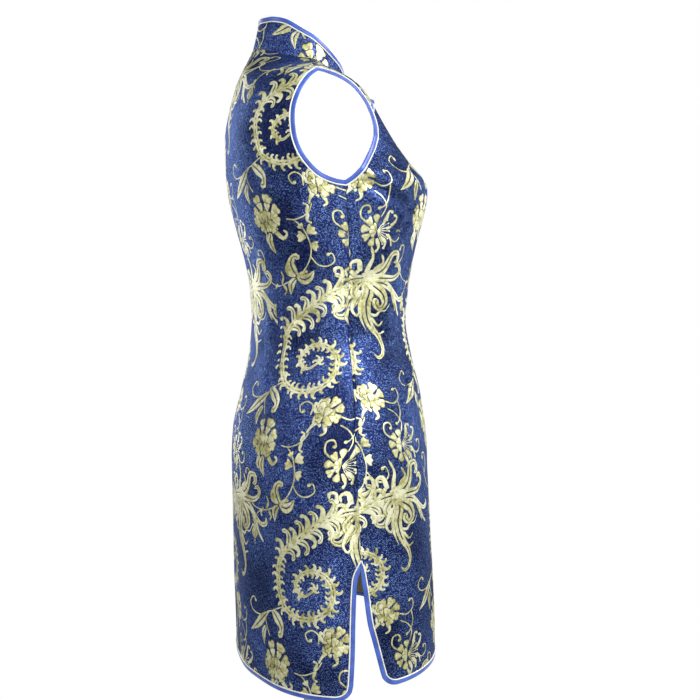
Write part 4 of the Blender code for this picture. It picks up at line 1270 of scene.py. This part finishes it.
def form_material(colours):
    """White knitted cover: fine rows of stitches, a faint slow mottling, and a painted glow that makes it
    read as blown-out white.
    """
    # Painted glow: the cover gives off a little white light of its own
    mat = Nodes(
        "form_cover", Roughness=0.80, Specular_IOR_Level=0.3, Sheen_Weight=0.15, Emission_Color=(1, 1, 1, 1),
        Emission_Strength=0.22,
    )
    where = mat.where()
    rows = mat.noise(mat.scaled(where, 700, 700, 1500), 1.0, 2.0)
    slow = mat.noise(where, 8.0, 3.0)
    mat.join(mat.mix(mat.ramp(slow, 0.3, 0.7), colours.form, colours.form_shade), "Base Color")
    mat.bump(rows, 0.25, 0.0002)
    return mat.material


def metal_material(name, colour, rough):
    """Brushed metal: fine rings of scratches round the upright axis and slight smudges."""
    mat = Nodes(name, Base_Color=colour, Metallic=1.0, Roughness=rough)
    where = mat.where()
    rings = mat.noise(mat.scaled(where, 60, 60, 2200), 1.0, 2.0)
    smudge = mat.noise(where, 14.0, 3.0)
    worn = mat.math("ADD", smudge, mat.math("MULTIPLY", rings, 0.5))
    mat.join(mat.ramp(worn, 0.5, 1.0, rough, rough + 0.18), "Roughness")
    mat.bump(rings, 0.12, 0.00008)
    return mat.material


def painted_material(name, colour):
    """Powder-painted steel: a fine even grain and faint wear."""
    mat = Nodes(name, Roughness=0.45, Metallic=0.2)
    where = mat.where()
    grain = mat.noise(where, 900.0, 2.0)
    wear = mat.noise(where, 20.0, 4.0)
    dull = tuple(0.86 * c for c in colour[:3]) + (1.0,)
    mat.join(mat.mix(mat.ramp(wear, 0.35, 0.75), colour, dull), "Base Color")
    mat.join(mat.ramp(wear, 0.3, 0.7, 0.38, 0.55), "Roughness")
    mat.bump(grain, 0.2, 0.0001)
    return mat.material


def floor_material():
    """Pale floor that turns into the backdrop's own white with distance from the stand."""
    mat = Nodes("floor_white", Base_Color=(0.88, 0.88, 0.88, 1.0), Roughness=0.9, Specular_IOR_Level=0.1)
    length = mat.add("ShaderNodeVectorMath", {0: mat.where()}, operation="LENGTH").outputs["Value"]
    seen = mat.add("ShaderNodeLightPath").outputs["Is Camera Ray"]
    strength = mat.ramp(seen, 0, 1, FILL, 1.0)
    glow = mat.add("ShaderNodeEmission", {"Color": (1.0, 1.0, 1.0, 1.0), "Strength": strength})
    blend = mat.add("ShaderNodeMixShader", {0: mat.ramp(length, 0.24, 0.80)})
    mat.tree.links.new(mat.shader.outputs[0], blend.inputs[1])
    mat.tree.links.new(glow.outputs[0], blend.inputs[2])
    mat.tree.links.new(blend.outputs[0], mat.tree.nodes["Material Output"].inputs["Surface"])
    return mat.material


def backdrop_world():
    """A white backdrop that lights softly: strength FILL, less in reflections, full where it is seen."""
    world = bpy.data.worlds.new("studio")
    world.use_nodes = True
    tree = world.node_tree
    path = tree.nodes.new("ShaderNodeLightPath")
    mirrored = tree.nodes.new("ShaderNodeMapRange")
    mirrored.inputs["To Min"].default_value = FILL
    mirrored.inputs["To Max"].default_value = GLOSSY_SHARE * FILL
    tree.links.new(path.outputs["Is Glossy Ray"], mirrored.inputs["Value"])
    strength = tree.nodes.new("ShaderNodeMapRange")
    tree.links.new(path.outputs["Is Camera Ray"], strength.inputs["Value"])
    tree.links.new(mirrored.outputs["Result"], strength.inputs["To Min"])
    background = tree.nodes["Background"]
    background.inputs["Color"].default_value = (1.0, 1.0, 1.0, 1.0)
    tree.links.new(strength.outputs["Result"], background.inputs["Strength"])
    return world


# Settings that a user would change


def size_property(name, description, value):
    return bpy.props.FloatProperty(name=name, description=description, default=value, unit="LENGTH")


class DressSizes(bpy.types.PropertyGroup):
    cloth_thickness: size_property("Cloth thickness", "Thickness of the lined brocade", 0.0012)
    binding_width: size_property("Binding width", "Width of the folded satin strips", 0.0056)
    binding_thickness: size_property("Binding thickness", "Thickness of the folded satin strips", 0.0022)
    piping_radius: size_property("Piping radius", "Radius of the cord beside each strip", 0.0008)
    repeat_width: size_property("Repeat width", "Width of one repeat of the woven pattern", 0.195)
    cloth_columns: bpy.props.IntProperty(
        name="Cloth columns", description="Columns of faces across the front or the back", default=132
    )


def colour_property(name, description, value):
    return bpy.props.FloatVectorProperty(
        name=name, description=description, default=value, size=4, subtype="COLOR", min=0.0, max=1.0
    )


class DressColours(bpy.types.PropertyGroup):
    ground: colour_property("Ground", "Satin ground", rgb(44, 57, 120))
    ground_dark: colour_property("Dark ground", "Satin ground where it is darkest", rgb(21, 29, 72))
    # Front ground and dark front ground: the back's ground painted darker, as shade over the front panel
    shaded_front_ground: colour_property("Front ground", "Satin ground of the front", rgb(34, 47, 102))
    shaded_front_dark: colour_property("Dark front ground", "Front's ground where it is darkest", rgb(19, 27, 66))
    ground_light: colour_property("Worm pattern", "Small pattern woven in the ground", rgb(132, 166, 222))
    gold: colour_property("Gold", "Gold thread", rgb(182, 180, 116))
    gold_light: colour_property("Light gold", "Gold thread where it is lightest", rgb(226, 226, 192))
    gold_shade: colour_property("Dark gold", "Gold thread where it is darkest", rgb(92, 90, 60))
    reverse: colour_property("Reverse", "Wrong side of the brocade", rgb(132, 130, 84))
    binding: colour_property("Binding", "Satin binding", rgb(74, 104, 190))
    binding_deep: colour_property("Deep binding", "Satin binding where it is darkest", rgb(46, 73, 156))
    piping: colour_property("Piping", "Cord beside the binding", rgb(240, 240, 228))
    piping_deep: colour_property("Deep piping", "Cord where it is darkest", rgb(214, 212, 196))
    form: colour_property("Form", "Cover of the dress form", rgb(251, 251, 252))
    form_shade: colour_property("Form shade", "Cover of the form where it is darkest", rgb(246, 246, 250))
    steel: colour_property("Steel", "Pole and socket", rgb(196, 194, 190))
    base: colour_property("Base", "Painted base", rgb(226, 224, 218))


# What is made so far, by name, for the operators that come later
MADE = {}


def sizes():
    """The sizes set in the panel."""
    return bpy.context.scene.dress_sizes


def materials():
    """The dress's materials, made once."""
    if "materials" not in MADE:
        colours = bpy.context.scene.dress_colours
        ground, light = (colours.ground_dark, colours.ground), colours.ground_light
        front = colours.shaded_front_dark, colours.shaded_front_ground
        MADE["materials"] = {
            "brocade": brocade_material("brocade_ground", *ground, light, 1.0),
            # The front's brocade: a darker copy with its worm pattern shown less, painted shade over the
            # front panel
            "front": brocade_material("brocade_front_shaded", *front, light, 0.8),
            "reverse": reverse_material(colours),
            "gold": gold_material(colours),
            "binding": satin_material("satin_binding", colours.binding, colours.binding_deep),
            "piping": satin_material("satin_piping", colours.piping, colours.piping_deep),
            "form": form_material(colours),
            "steel": metal_material("brushed_steel", tuple(colours.steel), 0.26),
            "base": painted_material("painted_base", tuple(colours.base)),
        }
    return MADE["materials"]


def hem_outline(angles, rings, rows):
    """Angles and rings along a panel's slit edges and hem, down one side and up the other."""
    return [
        np.concatenate([grid[rows:0:-1, 0], grid[0], grid[1 : rows + 1, -1]]) for grid in (angles, rings)
    ]


class DRESS_OT_cloth(bpy.types.Operator):
    """Builds the front, back and chest pieces as thin shells with their folds, creases and darts"""

    bl_idname = "dress.cloth"
    bl_label = "Cloth panels"

    def execute(self, context):
        size, look = sizes(), materials()
        columns = size.cloth_columns
        grids = {
            "front": (False, *front_grid(columns)),
            "back": (True, *panel_grid(True, columns)),
            "chest_right": (False, *chest_grid()),
        }
        for name, (behind, angles, rings) in grids.items():
            u, v = Wrap(behind).flat(angles, rings)
            uv = np.stack([u, v], axis=-1) / 1000
            points = on_cloth(angles + (180.0 if behind else 0.0), rings)
            faces = [look["brocade" if behind else "front"], look["reverse"]]
            piece = make_piece(
                f"cloth_{name}", points, grid_faces(*angles.shape), faces, uv=uv, replaces=[name],
                slot="brocade",
            )
            add_wall(piece, size.cloth_thickness)
            MADE[name] = piece
        MADE["grids"] = grids
        return {"FINISHED"}


# Height on the flat ground at which the collar's own pattern starts
COLLAR_GROUND = 0.740


def collar_top(turn, beyond=None):
    """Rise of the collar's cut edge at an angle from the back's centre, and `beyond` past its ends."""
    return np.interp(180.0 - np.abs(turn), *COLLAR_CURVE.T, left=beyond)


def collar_wave(turn):
    """The collar's slight waviness at its top: a sine of the angle."""
    return COLLAR_WAVE * np.sin(np.radians(turn) * COLLAR_WAVES)


class DRESS_OT_collar(bpy.types.Operator):
    """Builds the stand collar and its binding"""

    bl_idname = "dress.collar"
    bl_label = "Stand collar"

    def execute(self, context):
        size, look = sizes(), materials()
        turn = (180.0 - COLLAR_FRONT_ANGLE) * spread(COLLAR_COLUMNS)
        top = collar_top(turn)
        share = np.linspace(0.0, 1.0, COLLAR_ROWS + 1)[:, None]
        rise = COLLAR_SEAM + (top - COLLAR_SEAM) * share
        points = collar_point(turn + 180.0, rise, collar_wave(turn) * share * (1 - 0.3 * share))
        around = distances(points[0])
        across = np.broadcast_to(around - around[COLLAR_COLUMNS // 2], rise.shape)
        piece = make_piece(
            "cloth_collar", points, grid_faces(*rise.shape), [look["brocade"], look["reverse"]],
            uv=np.stack([across, rise + COLLAR_GROUND], axis=-1), replaces=["collar"], slot="brocade",
        )
        add_wall(piece, COLLAR_WALL)
        MADE["collar"] = piece
        ends = [2 * COLLAR_SEAM, 0.5 * top[0]]
        path_turn = np.concatenate([turn[:1], turn[:1], turn, turn[-1:], turn[-1:]])
        path_rise = np.concatenate([ends, top, ends[::-1]])
        edge = collar_point(path_turn + 180.0, path_rise)
        normals = collar_point(path_turn + 180.0, path_rise, 0.001) - edge
        normals /= np.linalg.norm(normals, axis=1, keepdims=True)
        MADE["collar_edges"] = add_binding(
            "edge_collar", edge, normals, np.array([0.0, 0.0, 10.0]), size, look, "binding_collar"
        )
        return {"FINISHED"}


# Places of the plumes on each panel, across from its centre line and up, in millimetres
REPEATS = {
    "back": [(186.0, -114.0), (186.0, 154.0), (160.0, 419.0), (152.0, 692.0), (152.0, 960.0)],
    "front": [(-252.0, -106.0), (-252.0, 162.0), (-229.0, 428.0), (-228.0, 698.0), (-228.0, 966.0)],
}
# The chest piece's pattern set off against the front's, and the collar's place in the drawing
CHEST_SHIFT, COLLAR_SHIFT = (-31.0, 22.0), (150.0, 92.0)
# Rise at which distances round the collar are taken, and the last angle with pattern
COLLAR_MIDDLE, COLLAR_LAST = 0.014, 172.0


class DRESS_OT_figures(bpy.types.Operator):
    """Lays the woven flowers, scrolls, leaves and stems on each piece of cloth"""

    bl_idname = "dress.figures"
    bl_label = "Woven figures"

    def execute(self, context):
        wide = sizes().repeat_width * 1000
        figure = draw_repeat()
        places = {
            panel: [(x + dx, y) for x, y in plumes for dx in np.arange(-3, 4) * wide]
            for panel, plumes in REPEATS.items()
        }
        places["chest"] = [(x + CHEST_SHIFT[0], y + CHEST_SHIFT[1]) for x, y in places["front"]]
        parts = {f"gold_{panel}": wrapped(panel, figure, at) for panel, at in places.items()}
        parts["gold_collar"] = self.on_collar(figure, wide)
        for name, (points, tones, quads) in parts.items():
            MADE[name] = make_piece(name, points, quads, [materials()["gold"]], tone=tones, slot="brocade")
        return {"FINISHED"}

    def on_collar(self, figure, wide):
        """The same drawing round the collar: across is the distance round it, up is the rise of it."""
        base, tones, quads = figure.arrays()
        turns = np.linspace(0, 180.0 - COLLAR_FRONT_ANGLE, 173)
        around = distances(collar_point(turns + 180.0, COLLAR_MIDDLE)) * 1000
        parts, count = [[], [], []], 0
        for dx in np.arange(-3, 3) * wide:
            x, y = base[:, 0] + COLLAR_SHIFT[0] + dx, base[:, 1] + COLLAR_SHIFT[1]
            turn = np.sign(x) * np.interp(np.abs(x), around, turns, right=400.0)
            top = collar_top(turn, -1) * 1000 - 0.5
            inside = (y > 1.0) & (y < top) & (np.abs(turn) < COLLAR_LAST)
            faces = quads[inside[quads].any(axis=1)]
            if not len(faces):
                continue
            used, faces = np.unique(faces, return_inverse=True)
            turn = np.clip(turn[used], -COLLAR_LAST - 0.2, COLLAR_LAST + 0.2)
            rise = np.clip(y[used], 0.8, np.maximum(top[used], 2.0)) / 1000
            wave = collar_wave(turn) * rise / 0.03
            parts[0].append(collar_point(turn + 180.0, rise, base[used, 2] / 1000 + wave + 0.0001))
            parts[1].append(tones[used])
            parts[2].append(faces.reshape(-1, 4) + count)
            count += len(used)
        return [np.concatenate(part) for part in parts]


def kept_from_slit(side):
    """Holds points on their side of the slit's middle: -1 is in front and 1 is behind."""
    limit = SLIT_MIDDLE_Y + side * 0.00015

    def keep(loops):
        loops[..., 1] = side * np.maximum(side * loops[..., 1], side * limit)
        return loops

    return keep


class DRESS_OT_bindings(bpy.types.Operator):
    """Binds the armholes, the diagonal edge, the hems and the slits"""

    bl_idname = "dress.bindings"
    bl_label = "Bindings and piping"

    def execute(self, context):
        size, look = sizes(), materials()
        step = 0.5 - 0.5 * np.cos(np.linspace(0, math.pi, 61))
        up = UNDERARM_RING + (SHOULDER_RING - UNDERARM_RING) * step
        down = up[-2:0:-1]
        ring = np.concatenate([up, down])
        angle = np.concatenate([edge_angle(ARM_FRONT, up), edge_angle(ARM_BACK, down)])
        edges = {"front": [], "back": [], "chest": []}
        for side, sign in (("left", 1.0), ("right", -1.0)):
            edge, normals = on_cloth(sign * angle, ring), body_normal(sign * angle, ring)
            edges["back"] += add_binding(
                f"edge_armhole_{side}", edge, normals, edge.mean(axis=0), size, look,
                f"binding_armhole_{side}", True,
            )
        for name, side in (("front", -1.0), ("back", 1.0)):
            behind, angles, rings = MADE["grids"][name]
            angle, ring = hem_outline(angles + (180.0 if behind else 0.0), rings, SLIT_ROWS)
            edge, normals = on_cloth(angle, ring), body_normal(angle, ring)
            edges[name] += add_binding(
                f"edge_hem_{name}", edge, normals, np.array([0.0, 0.0, -10.0]), size, look,
                f"binding_hem_{name}", keep=kept_from_slit(side),
            )
        ring = np.linspace(DIAGONAL_BOUND_RING, NECK_RING, 80)
        angle = -edge_angle(DIAGONAL_CURVE, ring)
        edge, normals = on_cloth(angle, ring), body_normal(angle, ring)
        edges["chest"] += add_binding(
            "edge_diagonal", edge, normals, cloth_point(-75.0, 17.0), size, look, "binding_diagonal"
        )
        MADE["edges"] = edges
        return {"FINISHED"}


def faces_out(piece):
    """Turns every closed part of a mesh to face outwards."""
    shell = bmesh.new()
    shell.from_mesh(piece.data)
    bmesh.ops.recalc_face_normals(shell, faces=shell.faces)
    shell.to_mesh(piece.data)
    shell.free()


# Half the length, half the width and the cord's radius of a closure's loop, and its height over the cloth
LOOP_HALF, LOOP_ASIDE, LOOP_CORD, LOOP_HEIGHT = 0.0195, 0.0017, 0.00115, 0.0023
# Its stations and sides, and the rows and columns of the round knot on it
LOOP_STATIONS, CORD_SIDES, BALL_ROWS, BALL_COLUMNS = 64, 10, 21, 40
# Rise of the collar's closure above the seam, and ring of the one on the diagonal edge
COLLAR_KNOT_RISE, DIAGONAL_KNOT_RING = 0.0065, 15.9


def on_collar_gap(along, aside, height):
    """Point of a closure across the collar's gap."""
    return collar_point(np.degrees(along / RINGS[-1, FRONT]), COLLAR_KNOT_RISE + aside, height)


def on_diagonal(along, aside, height):
    """Point of a closure that lies slanting across the diagonal edge."""
    angle = -edge_angle(DIAGONAL_CURVE, DIAGONAL_KNOT_RING) - np.degrees((0.3 * along - 1.0 * aside) / 0.08)
    return cloth_point(angle, DIAGONAL_KNOT_RING + 0.75 * along / 0.021 + 10.0 * aside, height)


class DRESS_OT_closures(bpy.types.Operator):
    """Ties a knotted cord across the collar's gap and one across the diagonal edge"""

    bl_idname = "dress.closures"
    bl_label = "Knotted cords"

    def execute(self, context):
        for name, place, ball in (("collar", on_collar_gap, 0.0047), ("diagonal", on_diagonal, 0.0038)):
            points, quads, caps = self.knot(place, ball)
            piece = make_piece(
                f"closure_{name}", points, quads, [materials()["binding"]], extra=caps,
                replaces=[f"knot_{name}"], slot="binding",
            )
            faces_out(piece)
        return {"FINISHED"}

    def knot(self, place, size):
        """A closed loop of twisted cord and a round knot over its middle.

        The loop is a long flat oval. The knot is a ball whose surface waves along two spirals.
        """
        turn = np.linspace(0, 2 * math.pi, LOOP_STATIONS, endpoint=False)
        across, up = section(CORD_SIDES, 2.0)
        along = LOOP_HALF * np.sign(np.cos(turn)) * np.abs(np.cos(turn)) ** 0.8
        aside = LOOP_ASIDE * np.sin(turn) * (1 + 0.6 * np.cos(turn) ** 4)
        path = place(along, aside, np.full(LOOP_STATIONS, LOOP_HEIGHT))
        normals = place(along, aside, np.full(LOOP_STATIONS, LOOP_HEIGHT + 0.001)) - path
        normals /= np.linalg.norm(normals, axis=1, keepdims=True)
        run = np.roll(path, -1, axis=0) - np.roll(path, 1, axis=0)
        right = np.cross(run, normals)
        right /= np.linalg.norm(right, axis=1, keepdims=True)
        twist = LOOP_CORD * (1 + 0.10 * np.cos(21 * turn[:, None] + np.arange(CORD_SIDES) * 0.63))
        cord = carried(path, normals, right, twist * across, twist * up)
        cord_quads, _ = tube_faces(LOOP_STATIONS, CORD_SIDES, True)
        u = np.linspace(0, 2 * math.pi, BALL_COLUMNS, endpoint=False)
        v = np.linspace(0.06, math.pi - 0.06, BALL_ROWS)[:, None]
        swell = 1 + (0.10 * np.cos(3 * u + 5 * v) - 0.06 * np.cos(3 * u - 5 * v)) * np.sin(v)
        middle = place(np.zeros(1), np.zeros(1), np.full(1, 1.3 * size - 0.0008))[0]
        top = LOOP_STATIONS // 4
        out, side = normals[top], run[top] / np.linalg.norm(run[top])
        ball = middle + size * (
            (np.sin(v) * np.cos(u) * swell)[..., None] * side
            + (np.sin(v) * np.sin(u) * swell)[..., None] * np.cross(out, side)
            + (0.86 * np.cos(v) * swell)[..., None] * -out
        )
        first, last = LOOP_STATIONS * CORD_SIDES, LOOP_STATIONS * CORD_SIDES + BALL_ROWS * BALL_COLUMNS
        caps = [list(range(first, first + BALL_COLUMNS))[::-1], list(range(last - BALL_COLUMNS, last))]
        points = np.concatenate([cord.reshape(-1, 3), ball.reshape(-1, 3)])
        ball_quads = grid_faces(BALL_ROWS, BALL_COLUMNS, wrap=True) + first
        return points, np.concatenate([cord_quads[:, ::-1], ball_quads]), caps


class DRESS_OT_form(bpy.types.Operator):
    """Builds the smooth torso with its neck inside the dress"""

    bl_idname = "dress.form"
    bl_label = "Dress form"

    def execute(self, context):
        turn = np.arange(FORM_COLUMNS) * 360.0 / FORM_COLUMNS
        low = float(ring_at_height(FORM_BOTTOM))
        body = np.concatenate([[low, low, low + 0.06, low + 0.12], np.linspace(3.6, 18.6, 120), [18.8, 19.0]])
        inset = smooth_rows(RINGS, body)[:, FORM_INSET].copy()
        inset[:4] += FORM_EDGE * np.array([1.0, 0.33, 0.1, 0.0])
        points = body_point(turn, body[:, None]) - body_normal(turn, body[:, None]) * inset[:, None, None]
        points[0, :, 2], points[1, :, 2] = FORM_BOTTOM, FORM_BOTTOM + FORM_EDGE / 3
        angle = np.radians(turn)
        rows = smooth_rows(FORM_NECK, np.concatenate([np.linspace(0.25, 3, 24), [3.5, 4.0, 4.5, 5.0]]))
        half_width, front, back, level, level_front, level_back = rows.T[:, :, None]
        x, y = superellipse(angle, half_width, front, back, 2.0)
        ahead, behind = np.maximum(np.cos(angle), 0) ** 2, np.maximum(-np.cos(angle), 0) ** 2
        z = level + (level_front - level) * ahead + (level_back - level) * behind
        points = np.concatenate([points, np.stack([x, y, z], axis=-1)])
        middle = points[[0, -1]].mean(axis=1, keepdims=True)
        inner = [middle + (points[[0, -1]] - middle) * share for share in (0.96, 0.5, 0.02)]
        points = np.concatenate([*[row[:1] for row in inner[::-1]], points, *[row[1:] for row in inner]])
        quads, caps = tube_faces(len(points), FORM_COLUMNS, False)
        MADE["form"] = make_piece(
            "form_torso", points, quads, [materials()["form"]], extra=caps, replaces=["form"], slot="form"
        )
        return {"FINISHED"}


class DRESS_OT_stand(bpy.types.Operator):
    """Gives the pole, its socket and the base their finishes"""

    bl_idname = "dress.stand"
    bl_label = "Pole and base"

    def execute(self, context):
        for node, look in (("pole", "steel"), ("socket", "steel"), ("base", "base")):
            obj = bpy.data.objects[node]
            for slot in obj.material_slots:
                slot.material = materials()[look]
        return {"FINISHED"}


class DRESS_OT_declare(bpy.types.Operator):
    """A step that finishes at once; it makes and names nothing"""

    bl_idname = "dress.declare"
    bl_label = "Cut sizes"

    def execute(self, context):
        return {"FINISHED"}


# Camera's place, its turn and tilt from the dress in degrees, and its focal length in millimetres
CAMERA_AT, CAMERA_PAN, CAMERA_TILT, CAMERA_LENS = (-1.2310, 0.2171, 1.047), 2.47, 3.0, 48.86
# The floor's sides and how far it lies under the base, and the point that all lights face
FLOOR_SIDES, FLOOR_DROP = 64, 0.0005
LIGHTS_AIM = Vector((0.0, 0.0, 0.98))
LIGHTS = [
    # name, angle from the front centre, height, distance, width, length, power
    ("key_light", 262.0, 1.30, 1.9, 0.34, 1.9, 18.0),
    ("back_light", 192.0, 1.75, 1.9, 0.45, 1.2, 9.0),
    ("front_light", 318.0, 2.05, 1.5, 0.80, 0.9, 38.0),
    ("far_front_light", 30.0, 1.40, 2.2, 0.7, 1.8, 12.0),
    ("far_back_light", 120.0, 1.40, 2.2, 0.7, 1.8, 14.0),
]


class DRESS_OT_studio(bpy.types.Operator):
    """Sets the floor, the soft lights and the camera"""

    bl_idname = "dress.studio"
    bl_label = "Studio"

    def execute(self, context):
        scene = context.scene
        scene.world = backdrop_world()
        scene.view_settings.view_transform = "Standard"
        self.add_floor(scene.collection)
        for name, azimuth, height, away, width, length, power in LIGHTS:
            lamp = bpy.data.lights.new(name, "AREA")
            lamp.shape, lamp.size, lamp.size_y, lamp.energy = "RECTANGLE", width, length, power
            light = bpy.data.objects.new(name, lamp)
            turn = math.radians(azimuth)
            light.location = (math.sin(turn) * away, -math.cos(turn) * away, height)
            light.rotation_euler = (LIGHTS_AIM - light.location).to_track_quat("-Z", "Y").to_euler()
            scene.collection.objects.link(light)
        lens = bpy.data.cameras.new("camera")
        lens.lens, lens.sensor_width, lens.clip_start, lens.clip_end = CAMERA_LENS, 36.0, 0.05, 200.0
        camera = bpy.data.objects.new("camera", lens)
        ahead = Vector((-CAMERA_AT[0], -CAMERA_AT[1], 0.0)).normalized()
        ahead = Matrix.Rotation(-math.radians(CAMERA_PAN), 3, "Z") @ ahead
        tilt = math.radians(CAMERA_TILT)
        look = ahead * math.cos(tilt) - Vector((0, 0, math.sin(tilt)))
        camera.location = CAMERA_AT
        camera.rotation_euler = look.to_track_quat("-Z", "Y").to_euler()
        scene.collection.objects.link(camera)
        scene.camera = camera
        return {"FINISHED"}

    def add_floor(self, collection):
        """A round floor of widening rings, just under the base."""
        radius = np.concatenate([np.linspace(0.02, 2.0, 12), np.geomspace(2.5, 60.0, 16)])[:, None]
        turn = np.linspace(0, 2 * math.pi, FLOOR_SIDES, endpoint=False)
        z = np.full((len(radius), FLOOR_SIDES), -FLOOR_DROP)
        points = np.stack([radius * np.cos(turn), radius * np.sin(turn), z], axis=-1)
        quads = grid_faces(len(radius), FLOOR_SIDES, wrap=True)
        mesh = bpy.data.meshes.new("studio_floor")
        mesh.from_pydata(points.reshape(-1, 3).tolist(), [], [*quads.tolist(), list(range(FLOOR_SIDES))])
        mesh.materials.append(floor_material())
        floor = bpy.data.objects.new("studio_floor", mesh)
        collection.objects.link(floor)


OPERATORS = (
    DRESS_OT_cloth, DRESS_OT_collar, DRESS_OT_figures, DRESS_OT_bindings, DRESS_OT_closures, DRESS_OT_form,
    DRESS_OT_stand, DRESS_OT_declare, DRESS_OT_studio,
)


class DRESS_PT_sidebar(bpy.types.Panel):
    bl_label = "Mini dress"
    bl_idname = "DRESS_PT_sidebar"
    bl_space_type = "VIEW_3D"
    bl_region_type = "UI"
    bl_category = "Dress"

    def draw(self, context):
        for group in (context.scene.dress_sizes, context.scene.dress_colours):
            for name in group.__annotations__:
                self.layout.prop(group, name)
        for operator in OPERATORS:
            self.layout.operator(operator.bl_idname)


CLASSES = (DressSizes, DressColours, *OPERATORS, DRESS_PT_sidebar)


def register():
    for cls in CLASSES:
        bpy.utils.register_class(cls)
    bpy.types.Scene.dress_sizes = bpy.props.PointerProperty(type=DressSizes)
    bpy.types.Scene.dress_colours = bpy.props.PointerProperty(type=DressColours)


def unregister():
    del bpy.types.Scene.dress_colours, bpy.types.Scene.dress_sizes
    for cls in reversed(CLASSES):
        bpy.utils.unregister_class(cls)


def main():
    register()
    dress = bpy.ops.dress
    steps = (
        dress.cloth, dress.collar, dress.figures, dress.bindings, dress.closures, dress.form, dress.stand,
        dress.declare, dress.studio,
    )
    for step in steps:
        if "FINISHED" not in step():
            raise RuntimeError(f"{step.idname()} did not finish")


if __name__ == "__main__":
    main()
